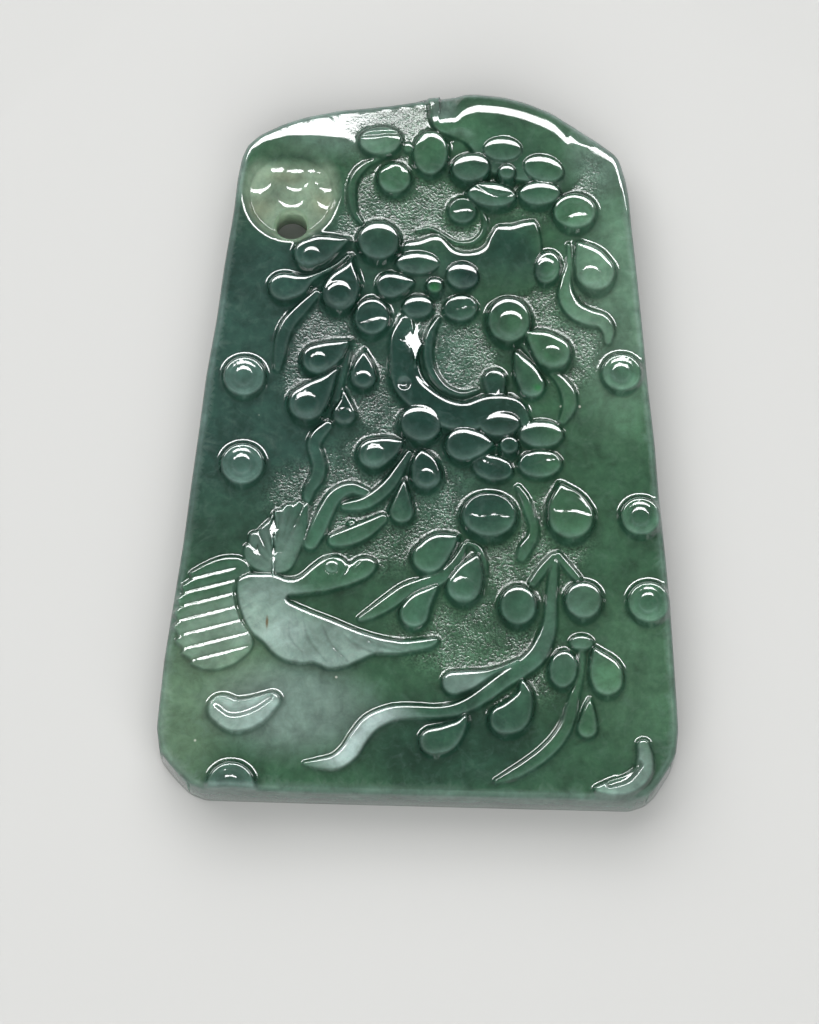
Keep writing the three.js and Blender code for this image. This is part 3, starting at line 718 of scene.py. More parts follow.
raise_plateau(
    [(-15.7, -13.3), (-14.8, -12.5), (-13.6, -12.4), (-12.4, -12.4), (-11.2, -12.8), (-10.3, -12.6),
     (-9.3, -11.7), (-8.4, -11.0), (-7.4, -10.7), (-6.6, -10.9), (-6.1, -11.3), (-5.5, -10.9),
     (-4.7, -10.7), (-3.9, -11.0), (-3.6, -11.7), (-4.2, -12.7), (-5.4, -13.4), (-6.8, -13.9),
     (-8.3, -14.3), (-9.8, -14.5), (-11.1, -14.7), (-9.4, -15.5), (-7.5, -16.2), (-5.5, -17.0),
     (-4.0, -17.5), (-2.5, -17.8), (-1.0, -17.9), (1.2, -17.6), (1.8, -18.0), (1.2, -18.8),
     (-0.6, -19.3), (-2.2, -19.5), (-3.6, -19.5), (-4.9, -20.1), (-6.2, -20.7), (-7.6, -20.9),
     (-8.9, -20.4), (-9.8, -20.5), (-11.2, -20.3), (-12.4, -19.6), (-13.2, -18.7), (-14.2, -17.9),
     (-15.0, -16.7), (-15.6, -15.1)],
    radius=1.3, tall=0.9, crown=1.8, hollow=0.8,
)
cut_groove((-15.6, -13.2, 0.16), (-15.6, -14.6, 0.24), (-15.0, -16.5, 0.24), (-14.0, -18.1, 0.16), depth=0.3)
for facet in [(-12.6, -8.8, 0.55, 2.1), (-12.5, -11.0, 0.22, 2.2), (-13.9, -10.7, 0.28, 0.9)]:
    star_facet(*facet)

# The fine feathers of the body and wing, the ringed eye and the cut beak. These cuts are shallow, and the
# fine feather cuts get a darker line of painted shade.
unfeathered = relief.copy()
feather_depth = 0.08
for start, middle, end in [
    ((-11.0, -16.6), (-10.8, -18.2), (-9.8, -19.4)), ((-9.8, -16.6), (-9.2, -18.4), (-7.8, -20.1)),
    ((-8.2, -17.0), (-7.4, -18.6), (-6.0, -20.0)), ((-6.6, -17.6), (-5.4, -18.6), (-4.0, -19.2)),
    ((-4.8, -18.0), (-3.4, -18.6), (-1.6, -19.0)),
]:
    cut_groove((*start, 0.16), (*middle, 0.26), (*end, 0.2), depth=0.1)
for start, end in [
    ((-15.0, -13.9), (-13.9, -13.3)), ((-15.1, -14.8), (-13.6, -14.1)), ((-14.9, -15.7), (-13.4, -14.8)),
    ((-14.5, -16.6), (-13.1, -15.5)), ((-13.9, -17.3), (-12.9, -16.3)),
]:
    cut_groove((*start, 0.18), (*end, 0.12), depth=0.09)
feather_cut_shade = np.clip((unfeathered - relief) / feather_depth, 0, 1)
eye_middle = (-7.55, -11.95)
eye_half = (0.6, 0.56)
eye = [
    (eye_middle[0] + eye_half[0] * math.cos(t), eye_middle[1] + eye_half[1] * math.sin(t), 0.15)
    for t in round_turns
]
cut_groove(*eye, depth=0.2)
cut_groove((-6.1, -11.2, 0.12), (-6.3, -12.2, 0.18), (-7.0, -13.2, 0.12), depth=0.16)
for start, end in [((-5.6, -12.7), (-4.6, -11.5)), ((-5.9, -12.2), (-5.2, -11.4))]:
    cut_groove((*start, 0.14), (*end, 0.14), depth=0.15)

# On the near side of every form, the one turned to the foot of the plaque, the wheel has left a gentler
# slope than on its other sides.
near_slope = 1.7
grid_height = relief.reshape(face_grid.shape[:2])
for row in range(len(grid_height) - 2, -1, -1):
    drop = near_slope * (face_grid[row + 1, :, 1] - face_grid[row, :, 1])
    grid_height[row] = blend_up(grid_height[row], grid_height[row + 1] - drop)

# Sunk roundel around the cord hole. Its wall curves down from a soft rim, and five shallow scoops and one
# low step are ground into its floor.
roundel_middle = (-12.1, 21.85)
roundel_half = (4.5, 4.9)
roundel_depth = 0.8
roundel_wall = 1.0
wall_curve = 1.7
far_wall_start, far_wall_rise = 23.5, 2.5
step_line, step_rise, step_height, step_half = 24.15, 0.5, 0.14, 3.4
scoops = [
    (-15.0, 23.1, 1.35), (-11.7, 23.3, 1.3), (-9.0, 23.4, 1.3), (-12.05, 21.7, 1.3), (-8.9, 21.7, 1.25),
]
scoop_depth = 0.13
scoop_flatness = 5
from_roundel = np.hypot(
    (face_x - roundel_middle[0]) / roundel_half[0], (face_y - roundel_middle[1]) / roundel_half[1]
)
wall_width = roundel_wall * (1 + 0.9 * np.clip((face_y - far_wall_start) / far_wall_rise, 0, 1))
into_roundel = np.clip((1 - from_roundel) * roundel_half[0] / wall_width, 0, 1)
relief = np.where(into_roundel > 0, relief * (1 - into_roundel), relief)
relief -= roundel_depth * into_roundel**wall_curve
step_share = np.clip((step_line - face_y) / step_rise, 0, 1)
step_share = step_share * np.clip(step_half - abs(face_x - roundel_middle[0]), 0, 1)
relief += step_height * step_share * np.clip((1 - from_roundel) * 2, 0, 1)
for x, y, radius in scoops:
    share = np.clip(1 - np.hypot(face_x - x, face_y - y) / radius, 0, 1)
    relief -= scoop_depth * (1 - (1 - share) ** scoop_flatness)

# Knot hole in the trunk: a small shallow dimple in the side of the thick stem, ground with a ball tool and
# polished with the rest.
knot_middle = (-1.9, 4.4)
knot_radius = 0.6
knot_depth = 0.3
share = np.clip(1.2 - np.hypot(face_x - knot_middle[0], face_y - knot_middle[1]) / knot_radius, 0, 1)
relief -= knot_depth * eased(share)

# Where the stone ends. The highest forms are ground level with each other, since the slab was no thicker,
# and the distance to the outline is measured for the rounding of the border.
highest = 1.62
near_highest = 0.35
far_from_edge = 9.0
over = np.clip(relief - (highest - near_highest), 0, None)
relief = np.where(over > 0, highest - near_highest + near_highest * np.tanh(over / near_highest), relief)
closest = np.full(face_x.shape, far_from_edge)
by_edge = np.ones(face_grid.shape[:2], bool)
border_lines = 40 if fine else 24
by_edge[border_lines:-border_lines, border_lines:-border_lines] = False
by_edge = by_edge.ravel()
edge_x, edge_y = face_x[by_edge], face_y[by_edge]
edge_distance = np.full(edge_x.shape, far_from_edge)
for (ax, ay), (bx, by) in zip(outline[::4], np.roll(outline[::4], -1, axis=0)):
    span = max((bx - ax) ** 2 + (by - ay) ** 2, 1e-12)
    share = np.clip(((edge_x - ax) * (bx - ax) + (edge_y - ay) * (by - ay)) / span, 0, 1)
    distance = np.hypot(edge_x - ax - share * (bx - ax), edge_y - ay - share * (by - ay))
    edge_distance = np.minimum(edge_distance, distance)
closest[by_edge] = edge_distance

# Along the arch and the shoulders the face falls away to the border, widest at the top left, and there the
# ground is a little wavy from handling. Each pair is a place across the plaque and the value there.
fall_widths = [
    (-17.0, 1.3), (-14.5, 1.5), (-12.5, 1.9), (-9.0, 3.0), (-6.0, 4.0), (-3.5, 4.2), (-1.0, 3.4), (0.3, 3.6),
    (1.3, 3.9), (1.9, 3.8), (2.5, 3.2), (3.8, 2.7), (10.5, 2.5), (11.7, 2.9), (12.6, 1.7), (13.3, 1.4),
    (14.2, 1.6), (17.0, 1.5),
]
fall_slopes = [(-1.0, 0.3), (0.3, 0.6), (12.6, 0.6), (13.3, 0.55), (14.2, 0.45)]
fall_starts = [
    (-1.0, 0.9), (0.3, 1.6), (1.3, 2.6), (11.7, 2.6), (12.6, 0.6), (13.3, 0.5), (14.2, 1.2), (17.0, 1.1),
]
shoulder_start, shoulder_rise = 20.5, 3
wear_start, wear_rise = -8, 4
wear_end, wear_fade = 0.1, 1.2
wear_height = 0.03


def along_arch(pairs):
    """A value for every place of the face, from its values at some places across the plaque."""
    across, values = zip(*pairs)
    return np.interp(face_x, across, values)


def rounded_drop(distance, radius):
    """How far a rounded border has fallen, at a distance inside the outline."""
    short = np.clip(radius - distance, 0, radius)
    return radius - np.sqrt(radius**2 - short**2)


fall_start = along_arch(fall_starts)
fallen = np.clip(along_arch(fall_widths) - closest, 0, None)
fallen = np.where(fallen < fall_start, fallen**2 / (2 * fall_start), fallen - fall_start / 2)
shoulder_share = np.clip((face_y - shoulder_start) / shoulder_rise, 0, 1)
spared = 1 - 0.5 * np.clip(relief, 0, 1) * (face_x < 0.5)
relief -= along_arch(fall_slopes) * fallen * shoulder_share * spared
worn = shoulder_share * np.clip((face_x - wear_start) / wear_rise, 0, 1)
worn = worn * np.clip((wear_end - face_x) / wear_fade, 0, 1)
relief += wear_height * worn * np.sin(3.1 * face_x + 1.7 * np.sin(2.3 * face_y)) * np.sin(3.7 * face_y)
relief -= rounded_drop(closest, edge_rounding)
from_bore = np.hypot(face_x - hole_middle[0], face_y - hole_middle[1]) - hole_radius
relief -= rounded_drop(np.clip(from_bore, 0, far_from_edge), hole_rounding)

# The stone's skin: the carved face, the sawn edge wall, the flat polished back and the bore of the hole,
# all one closed mesh.
row_count, column_count = face_grid.shape[:2]
vertices = [np.stack([face_x, face_y, ground_level + relief], axis=1)]
index = np.arange(row_count * column_count).reshape(row_count, column_count)
corners = np.stack([index[:-1, :-1], index[:-1, 1:], index[1:, 1:], index[1:, :-1]], axis=-1)
open_cells = (
    (rows[:-1, :-1] >= hole_row - half_up) & (rows[:-1, :-1] < hole_row + half_up)
    & (columns[:-1, :-1] >= hole_column - half_across) & (columns[:-1, :-1] < hole_column + half_across)
)
faces = corners[~open_cells].tolist()


def loop_of(top, bottom, left, right_column):
    """Vertex numbers once round a block of the grid, anticlockwise."""
    return (
        index[bottom, left:right_column].tolist()
        + index[bottom:top, right_column].tolist()
        + index[top, right_column:left:-1].tolist()
        + index[top:bottom:-1, left].tolist()
    )


def wall_down(loop, levels, spread, outwards):
    """Rings below a loop of the face, each at a level and moved out or in; returns the last ring."""
    start = np.concatenate(vertices)[loop][:, :2]
    heading = np.roll(start, -1, axis=0) - np.roll(start, 1, axis=0)
    heading /= np.maximum(np.hypot(*heading.T), 1e-9)[:, None]
    outward = np.stack([heading[:, 1], -heading[:, 0]], axis=1)
    previous = loop
    for level, move in zip(levels, spread):
        ring = start + outward * move
        first_number = sum(len(part) for part in vertices)
        current = list(range(first_number, first_number + len(ring)))
        vertices.append(np.column_stack([ring, np.full(len(ring), level)]))
        for i in range(len(ring)):
            j = (i + 1) % len(ring)
            cell = [previous[i], current[i], current[j], previous[j]]
            faces.append(cell if outwards else cell[::-1])
        previous = current
    return previous


turns = np.radians([0, 30, 60, 90])
rim_heights = [3.4, 2.4, 1.4]
bore_heights = [3.0, 2.0, 1.0]
rim_loop = loop_of(row_count - 1, 0, 0, column_count - 1)
rim_levels = [*rim_heights, *(back_rounding * (1 - np.sin(turns)))]
rim_moves = [0, 0, 0, *(-back_rounding * (1 - np.cos(turns)))]
back_rim = wall_down(rim_loop, rim_levels, rim_moves, True)
bore_loop = loop_of(
    hole_row + half_up, hole_row - half_up, hole_column - half_across, hole_column + half_across
)
bore_levels = [*bore_heights, *(hole_rounding * (1 - np.sin(turns)))]
bore_moves = [0, 0, 0, *(hole_rounding * (1 - np.cos(turns)))]
back_bore = wall_down(bore_loop, bore_levels, bore_moves, False)

face_used = ~inside_hole.ravel()
all_points = np.concatenate(vertices)
used = np.ones(len(all_points), bool)
used[:len(face_used)] = face_used
renumber = np.cumsum(used) - 1
points = all_points[used] * mm
mesh = bpy.data.meshes.new("pendant_stone")
mesh.from_pydata(points.tolist(), [], [[int(renumber[k]) for k in face] for face in faces])
pendant = bpy.data.objects.new("pendant_stone", mesh)
bpy.context.scene.collection.objects.link(pendant)
shell = bmesh.new()
shell.from_mesh(mesh)
shell.verts.ensure_lookup_table()
back_edges = []
for ring in (back_rim, back_bore):
    numbers = [int(renumber[k]) for k in ring]
    for a, b in zip(numbers, numbers[1:] + numbers[:1]):
        back_edges.append(shell.edges.get((shell.verts[a], shell.verts[b])))
bmesh.ops.triangle_fill(shell, use_beauty=True, use_dissolve=False, edges=back_edges, normal=(0, 0, -1))
bmesh.ops.recalc_face_normals(shell, faces=shell.faces[:])
shell.to_mesh(mesh)
shell.free()
mesh.polygons.foreach_set("use_smooth", [True] * len(mesh.polygons))
mesh.update()

# The level ground needs fewer facets than the carving, so the mesh is thinned out where it is nearly flat.
# The places where the stone turns most, their neighbours and a wide lattice over the ground are all kept.
most_triangles = 190000
most_kept_places = 74000
steepest_counted = 1.5
lattice_step = 6
thin_border = 0.5
grid_height = relief.reshape(face_grid.shape[:2])
rise_up, rise_across = np.gradient(grid_height)
x_up, x_across = np.gradient(face_grid[..., 0])
y_up, y_across = np.gradient(face_grid[..., 1])
area = x_across * y_up - x_up * y_across
area = np.where(abs(area) < 1e-6, 1e-6, area)
slope_x = (rise_across * y_up - rise_up * y_across) / area
slope_y = (rise_up * x_across - rise_across * x_up) / area
steepness = np.hypot(slope_x, slope_y).ravel()
turning = np.zeros_like(grid_height)
for slopes in (slope_x, slope_y):
    for axis in (0, 1):
        change = abs(np.diff(np.clip(slopes, -steepest_counted, steepest_counted), axis=axis))
        turning += np.pad(change, [(0, int(axis == 0)), (0, int(axis == 1))])
padded = np.pad(turning, 2, mode="edge")
around_each = [
    padded[row:row + row_count, column:column + column_count] for row in range(5) for column in range(5)
]
turning = np.max(around_each, axis=0)
turning[::lattice_step, ::lattice_step] = turning.max()
turning = np.where(closest.reshape(turning.shape) < thin_border, 0, turning)
enough_turning = np.sort(turning.ravel())[-min(most_kept_places, turning.size // 3)]
face_level = (turning.ravel() <= enough_turning)[face_used]
level_share = np.ones(len(points), bool)
level_share[:len(face_level)] = face_level
triangles = sum(len(face.vertices) - 2 for face in mesh.polygons)
level_places = pendant.vertex_groups.new(name="level places")
level_places.add(np.flatnonzero(level_share).tolist(), 1.0, "REPLACE")
if triangles > most_triangles:
    thin_out = pendant.modifiers.new("thin out", "DECIMATE")
    thin_out.ratio = most_triangles / triangles
    thin_out.vertex_group = level_places.name
    thinned = bpy.data.meshes.new_from_object(pendant.evaluated_get(bpy.context.evaluated_depsgraph_get()))
    pendant.modifiers.clear()
    pendant.data = thinned
    bpy.data.meshes.remove(mesh)
    thinned.name = "pendant_stone"
    mesh = thinned
pendant.vertex_groups.clear()

# The polish: every place of the thinned mesh keeps the tilt that the carving has there, so that the stone
# shines without facets. Tilts and colours are taken from the three nearest places of the carved face.
nearest_count = 3
least_upward = 0.15
plain_border = 0.3
face_numbers = np.flatnonzero(face_used)
face_finder = KDTree(len(face_numbers))
for number, place in zip(face_numbers.tolist(), (all_points[face_numbers] * mm).tolist()):
    face_finder.insert(place, number)
face_finder.balance()
places = np.empty(len(mesh.vertices) * 3)
mesh.vertices.foreach_get("co", places)
places = places.reshape(-1, 3)
tilts = np.column_stack([-slope_x.ravel(), -slope_y.ravel(), np.ones(len(face_x))])
neighbours = np.zeros((len(places), nearest_count), int)
closeness = np.zeros((len(places), nearest_count))
for number, place in enumerate(places.tolist()):
    for rank, (_, other, distance) in enumerate(face_finder.find_n(place, nearest_count)):
        neighbours[number, rank] = other
        closeness[number, rank] = 1 / (distance + 1e-6)
closeness /= closeness.sum(axis=1)[:, None]
polished = (tilts[neighbours] * closeness[..., None]).sum(axis=1)
polished /= np.linalg.norm(polished, axis=1)[:, None]
own = np.empty(len(places) * 3)
mesh.vertices.foreach_get("normal", own)
own = own.reshape(-1, 3)
carved = (own[:, 2] > least_upward) & (closest[neighbours[:, 0]] > plain_border)
mesh.normals_split_custom_set_from_vertices(np.where(carved[:, None], polished, own).tolist())

# The stone: jade, slate blue at the left, green at the right and milky about the bird, with a glassy polish.
# Its clouds are laid by place, each as a colour, its share, and an oval (x, y, half width, half height).
slate = (0.0185, 0.0500, 0.0385)
leaf_green = (0.0265, 0.072, 0.0385)
dark_teal = (0.005, 0.022, 0.0165)
river_green = (0.060, 0.130, 0.075)
milky = (0.262, 0.332, 0.318)
olive = (0.078, 0.132, 0.082)
roundel_olive = (0.168, 0.234, 0.166)
roundel_brown = (0.170, 0.165, 0.100)
grey_frost = (0.070, 0.092, 0.066)
# Colour of the painted shade laid on steep walls.
wall_shade_colour = (0.007, 0.030, 0.019)
bright_green = (0.006, 0.085, 0.018)
amber = (0.10, 0.055, 0.015)
ball_green = (0.031, 0.080, 0.047)
ball_grey = (0.046, 0.090, 0.074)
bore_lit_colour = (0.21, 0.29, 0.20)


def soft_patch(x, y, half_wide, half_tall, edge=0.5):
    """One within an oval place on the face, fading to nothing over the outer part of it."""
    reach = np.hypot((face_x - x) / half_wide, (face_y - y) / half_tall)
    return eased(np.clip((1 - reach) / edge, 0, 1))


def tinted(colours, tint, share):
    """The colours with a share of a tint laid over them."""
    return colours * (1 - share[:, None]) + np.array(tint) * share[:, None]


form_start, form_rise = 0.15, 0.5
on_form = np.clip((relief - form_start) / form_rise, 0, 1)
blue_share = np.clip((4 - face_x) / 14, 0, 1)
blue_share = blue_share * np.clip((face_y + 16) / 14, 0, 1) * np.clip((24 - face_y) / 8, 0, 1)
colours = tinted(np.tile(leaf_green, (len(face_x), 1)), slate, blue_share)
ground_tints = [
    (slate, 0.6, (-2, 5, 11, 14)), (slate, 0.5, (2, -2, 9, 10)), (dark_teal, 0.6, (3, -27, 12, 6)),
    (river_green, 0.9, (17, 12, 7, 16)), (river_green, 0.5, (19, -20, 7, 10)),
    (river_green, 0.5, (12, 29, 8, 5)), (olive, 0.9, (-21, -26, 7, 8)), (olive, 0.85, (-17, -20, 7, 7)),
    (milky, 0.36, (-10.5, -24.0, 9, 5.5)), (milky, 0.2, (-8, 28, 8, 4)), (milky, 0.12, (16, 12, 6, 14)),
    (milky, 0.2, (14.5, 26, 4, 6)), (milky, 0.3, (0.9, 29.6, 1.6, 1.8)),
]
form_tints = [
    (dark_teal, 0.85, (-5, 8, 12, 14)), (dark_teal, 1.0, (5.5, 15.5, 6, 6)), (dark_teal, 0.8, (4, -1, 9, 12)),
    (dark_teal, 0.55, (5, 22, 8, 6)), (dark_teal, 0.3, (9, 28.5, 7, 4)),
    (milky, 0.38, (-13.0, -16.0, 4.6, 4.6)), (milky, 0.41, (-7.4, -18.6, 8.6, 3.4)),
    (milky, 0.34, (-12.8, -9.8, 3.4, 4.4)),
    (milky, 0.87, (-5.4, -26.2, 6.6, 5.0)), (milky, 0.37, (-14.6, -24.4, 4.8, 3.2)),
    (milky, 0.26, (-17.6, -18.2, 4.0, 4.2)), (slate, 0.45, (6, -17, 12, 12)),
    (milky, 0.24, (3.4, -21.4, 3.4, 1.6)), (milky, 0.05, (12.6, -16.0, 5.0, 6.0)),
    (milky, 0.35, (17.5, -29.0, 4.0, 4.0)),
]
for tint, share, place in ground_tints:
    colours = tinted(colours, tint, share * soft_patch(*place, edge=0.7))
for tint, share, place in form_tints:
    colours = tinted(colours, tint, share * on_form * soft_patch(*place, edge=0.6))
for x, y, radius in balls:
    ball_tint = ball_green if x > 0 else ball_grey
    colours = tinted(colours, ball_tint, 0.7 * soft_patch(x, y, radius + 0.2, radius + 0.2, edge=0.3))
    colours = tinted(colours, dark_teal, 0.3 * soft_patch(x, y - 0.1, 0.62 * radius, 0.62 * radius, edge=0.3))
# Painted shade: the olive of the roundel floor thins out up its far wall, which is left darker.
roundel_unshaded_share = np.clip((25.1 - face_y) / 1.2, 0.12, 1)
colours = tinted(colours, roundel_olive, 0.95 * roundel_unshaded_share * np.clip((1 - from_roundel) * 6, 0, 1))
for place in [(-14.6, 20.3, 1.7, 1.5), (-9.4, 20.9, 1.5, 1.8), (-12.6, 23.2, 2.4, 0.9)]:
    colours = tinted(colours, roundel_brown, 0.4 * soft_patch(*place, edge=0.9) * (from_roundel < 0.9))
for place in [(0.5, 13.0, 0.8, 0.7), (9.5, 4.3, 0.45, 0.45)]:
    colours = tinted(colours, bright_green, 0.8 * soft_patch(*place, edge=0.9))

# Frost: the low ground between the forms isn't polished and keeps the grey stipple of the grinding wheel,
# in uneven patches, and so does the worn ground under the arch.
frost_depth = 0.22
frost_places = [
    (-9, 7, 5, 7), (-3.5, 3, 3.5, 5), (-3, -6, 9, 8), (3.5, 7, 3.5, 4.5), (8.5, -10, 6, 6), (3, -17, 7, 5),
    (-2, 20.5, 6, 4.5), (2, 18.5, 4, 2.5), (9.5, 12.5, 4, 5), (-6, 20, 3, 5), (12, 9, 4, 6), (9, 23.5, 7, 5),
    (-9.6, -5.5, 5, 4), (8, -20, 6, 5), (11.4, -8, 4, 5), (0, 10, 3.5, 4),
]
frost = np.zeros_like(face_x)
for place in frost_places:
    frost = np.maximum(frost, soft_patch(*place, edge=0.45))
bent_x = 1.9 * face_x + 2.2 * np.sin(1.1 * face_y)
bent_y = 1.7 * face_y + 1.3 * np.sin(face_x)
uneven = 0.75 + 0.25 * np.sin(bent_x) * np.sin(bent_y)
frost *= uneven * np.clip(1 - relief / frost_depth, 0, 1) * (from_roundel > 1.02)
worn_frost = 0.8 * worn * np.clip((closest - 0.5) / 0.3, 0, 1) * np.clip(1 - relief / 0.1, 0, 1)
frost = np.maximum(frost, worn_frost)
colours = tinted(colours, grey_frost, 0.1 * frost)

# Painted light and shade: hollows are painted darker and steep walls nearly black as shade, shoulders get a
# painted pale band, and level tops and the side of a form turned away from the arch are painted lighter as
# light.
sunk_depth, most_sunk_shade = 0.5, 0.4
wall_start, wall_rise, most_wall_shade = 0.45, 1.3, 0.65
brow_steepness, brow_spread, most_brow_sheen = 0.5, 0.28, 0.07
top_steepness, top_light = 0.8, 0.3
near_steepness, near_light, near_glow_milk = 0.5, 0.4, 0.12
# Painted shade: places lying lower than the blurred face around them are painted darker.
blurred = grid_height.copy()
for _ in range(8):
    padded = np.pad(blurred, 2, mode="edge")
    blurred = (padded[4:, 2:-2] + padded[:-4, 2:-2] + padded[2:-2, 4:] + padded[2:-2, :-4] + 2 * blurred) / 6
sunk_shade = np.clip((blurred.ravel() - relief) / sunk_depth, 0, 1) * (from_roundel > 1.05)
colours *= (1 - most_sunk_shade * sunk_shade)[:, None]
near_side = np.clip(slope_y.ravel() / near_steepness, 0, 1)
pale_share = np.clip((colours[:, 0] - 0.06) / 0.1, 0, 1)
# Painted shade: steep walls are tinted towards a near-black green, less on pale stone.
wall_shade_share = np.clip((steepness - wall_start) / wall_rise, 0, 1)
colours = tinted(colours, wall_shade_colour, most_wall_shade * wall_shade_share * (1 - 0.6 * pale_share))
# Painted highlight: a pale milky band on the shoulders of the forms.
brow_sheen_share = on_form * np.clip(1 - abs(steepness - brow_steepness) / brow_spread, 0, 1)
colours = tinted(colours, milky, most_brow_sheen * brow_sheen_share)
# Painted light: the nearly level tops of the forms are made lighter.
top_lit_share = on_form * np.clip(1 - steepness / top_steepness, 0, 1)
colours *= (1 + top_light * top_lit_share)[:, None]
# Painted light: the side of a form turned towards the foot of the plaque is made lighter and milkier, as a
# glow through the stone.
near_glow_share = near_side * on_form * (1 - wall_shade_share)
colours *= (1 + near_light * near_glow_share)[:, None]
colours = tinted(colours, milky, near_glow_milk * near_glow_share)

# Thin and cut places: the mouth and wall of the bore are painted paler as light coming through the stone, the
# rounded border gets a painted sheen, the eye has a pale ring, and the fine feather cuts get a darker line of
# painted shade.
# Painted light: the stone round the mouth of the bore and the bore wall are made paler.
colours = tinted(colours, roundel_olive, np.clip((0.6 - from_bore) / 0.3, 0, 1))
colours = tinted(colours, bore_lit_colour, np.clip((0.15 - from_bore) / 0.1, 0, 1))
from_eye = np.hypot(face_x - eye_middle[0], face_y - eye_middle[1])
colours = tinted(colours, milky, 0.25 * np.clip(1 - abs(from_eye - 0.38) / 0.16, 0, 1))
# Painted shade: the fine feather cuts are tinted darker.
colours = tinted(colours, dark_teal, 0.18 * feather_cut_shade)
# Painted sheen: a milky band along the rounded border, stronger under the arch.
rim_sheen_share = np.clip((0.65 - closest) / 0.2, 0, 1)
colours = tinted(colours, milky, rim_sheen_share * (0.2 + 0.14 * shoulder_share))


def paint(name, kind, values):
    """Stores a value for every place on the stone. The edge, the bore and the back take the nearest ones
    of the face."""
    attribute = mesh.attributes.new(name, kind, "POINT")
    whole = (values[neighbours] * closeness[..., None]).sum(axis=1)
    attribute.data.foreach_set("color" if whole.shape[1] == 4 else "value", whole.astype(np.float32).ravel())


# The colour stored here holds the stone's clouds together with the painted light and shade.
paint("colour_with_light_and_shade", "FLOAT_COLOR", np.column_stack([colours, np.ones(len(colours))]))
paint("frost", "FLOAT", frost[:, None])

# The jade itself: the painted clouds with their painted light and shade, broken up by a fine grain, wisps and
# flecks in the stone, under a glassy polish that scatters light below its surface. Frosted ground is rougher
# and finely stippled.
wisp_colour = (0.11, 0.17, 0.15)
fleck_colour = (0.11, 0.18, 0.155)
pale_speck = (0.4, 0.42, 0.36)
rust_speck = (0.22, 0.13, 0.03)
stipple_scale = 4600
polish_roughness, frost_roughness = 0.08, 0.26
jadeite_index = 1.66
brown_mark = (-12.85, -16.9, 0.16, 0.72)
jade = bpy.data.materials.new("jade")
jade.use_nodes = True
nodes = jade.node_tree.nodes
links = jade.node_tree.links
polish = nodes["Principled BSDF"]
where = nodes.new("ShaderNodeTexCoord").outputs["Object"]


def stone_noise(scale, detail, roughness=0.5, distortion=0.0):
    """A cloudiness in the stone, finer for a larger scale."""
    noise = nodes.new("ShaderNodeTexNoise")
    noise.inputs["Scale"].default_value = scale
    noise.inputs["Detail"].default_value = detail
    noise.inputs["Roughness"].default_value = roughness
    noise.inputs["Distortion"].default_value = distortion
    links.new(where, noise.inputs["Vector"])
    return noise.outputs["Fac"]


def between(value, low, high, new_low=0.0, new_high=1.0):
    """Spreads a value from one range to another."""
    spread = nodes.new("ShaderNodeMapRange")
    spread.inputs["From Min"].default_value = low
    spread.inputs["From Max"].default_value = high
    spread.inputs["To Min"].default_value = new_low
    spread.inputs["To Max"].default_value = new_high
    links.new(value, spread.inputs["Value"])
    return spread.outputs["Result"]


def mixed(share, first, second, kind="MIX"):
    """Lays one colour over another by a share."""
    mix = nodes.new("ShaderNodeMix")
    mix.data_type = "RGBA"
    mix.blend_type = kind
    for socket, value in ((mix.inputs["Factor"], share), (mix.inputs[6], first), (mix.inputs[7], second)):
        if isinstance(value, bpy.types.NodeSocket):
            links.new(value, socket)
        elif isinstance(value, tuple):
            socket.default_value = (*value, 1)
        else:
            socket.default_value = value
    return mix.outputs[2]


def times(first, second):
    product = nodes.new("ShaderNodeMath")
    product.operation = "MULTIPLY"
    for socket, value in zip(product.inputs, (first, second)):
        if isinstance(value, bpy.types.NodeSocket):
            links.new(value, socket)
        else:
            socket.default_value = value
    return product.outputs[0]


def painted(name):
    """A value that was painted on the stone, to be read by the jade."""
    attribute = nodes.new("ShaderNodeAttribute")
    attribute.attribute_name = name
    return attribute


base = painted("colour_with_light_and_shade").outputs["Color"]
frosted = painted("frost").outputs["Fac"]


def shaded(colour, value, share=1.0):
    """The colour made lighter or darker by a value that is about one."""
    grey = nodes.new("ShaderNodeCombineColor")
    for channel in grey.inputs[:3]:
        links.new(value, channel)
    return mixed(share, colour, grey.outputs["Color"], "MULTIPLY")


stone = shaded(base, between(stone_noise(190, 5, 0.6, 0.6), 0.3, 0.7, 0.7, 1.3))
stone = shaded(stone, between(stone_noise(900, 5, 0.65, 0.4), 0.3, 0.7, 0.76, 1.24))
wisps = between(stone_noise(380, 6, 0.62, 1.6), 0.56, 0.8, 0, 0.24)
stone = mixed(wisps, stone, wisp_colour)
flecks = between(stone_noise(1150, 4, 0.6, 0.8), 0.52, 0.8, 0, 0.14)
stone = mixed(flecks, stone, fleck_colour)
grain = between(stone_noise(stipple_scale, 2, 0.6), 0.35, 0.68, 0.3, 1.8)
stone = shaded(stone, grain, frosted)


def specks(scale, size, amount):
    """Scattered round specks: amount is the share of the places that have one."""
    dots = nodes.new("ShaderNodeTexVoronoi")
    dots.inputs["Scale"].default_value = scale
    links.new(where, dots.inputs["Vector"])
    rare = between(dots.outputs["Color"], amount, amount + 0.01, 1, 0)
    return times(between(dots.outputs["Distance"], size * 0.5, size, 1, 0), rare)


def oval_mark(x, y, half_wide, half_tall):
    """One in the middle of a small oval place on the face, and nothing at its border and beyond."""
    laid = nodes.new("ShaderNodeMapping")
    middle_height, half_deep = 5.6, 3
    halves = (half_wide * mm, half_tall * mm, half_deep * mm)
    middle = (x, y, middle_height)
    laid.inputs["Scale"].default_value = tuple(1 / half for half in halves)
    laid.inputs["Location"].default_value = tuple(-c * mm / half for c, half in zip(middle, halves))
    links.new(where, laid.inputs["Vector"])
    length = nodes.new("ShaderNodeVectorMath")
    length.operation = "LENGTH"
    links.new(laid.outputs["Vector"], length.inputs[0])
    return between(length.outputs["Value"], 0.3, 1, 1, 0)


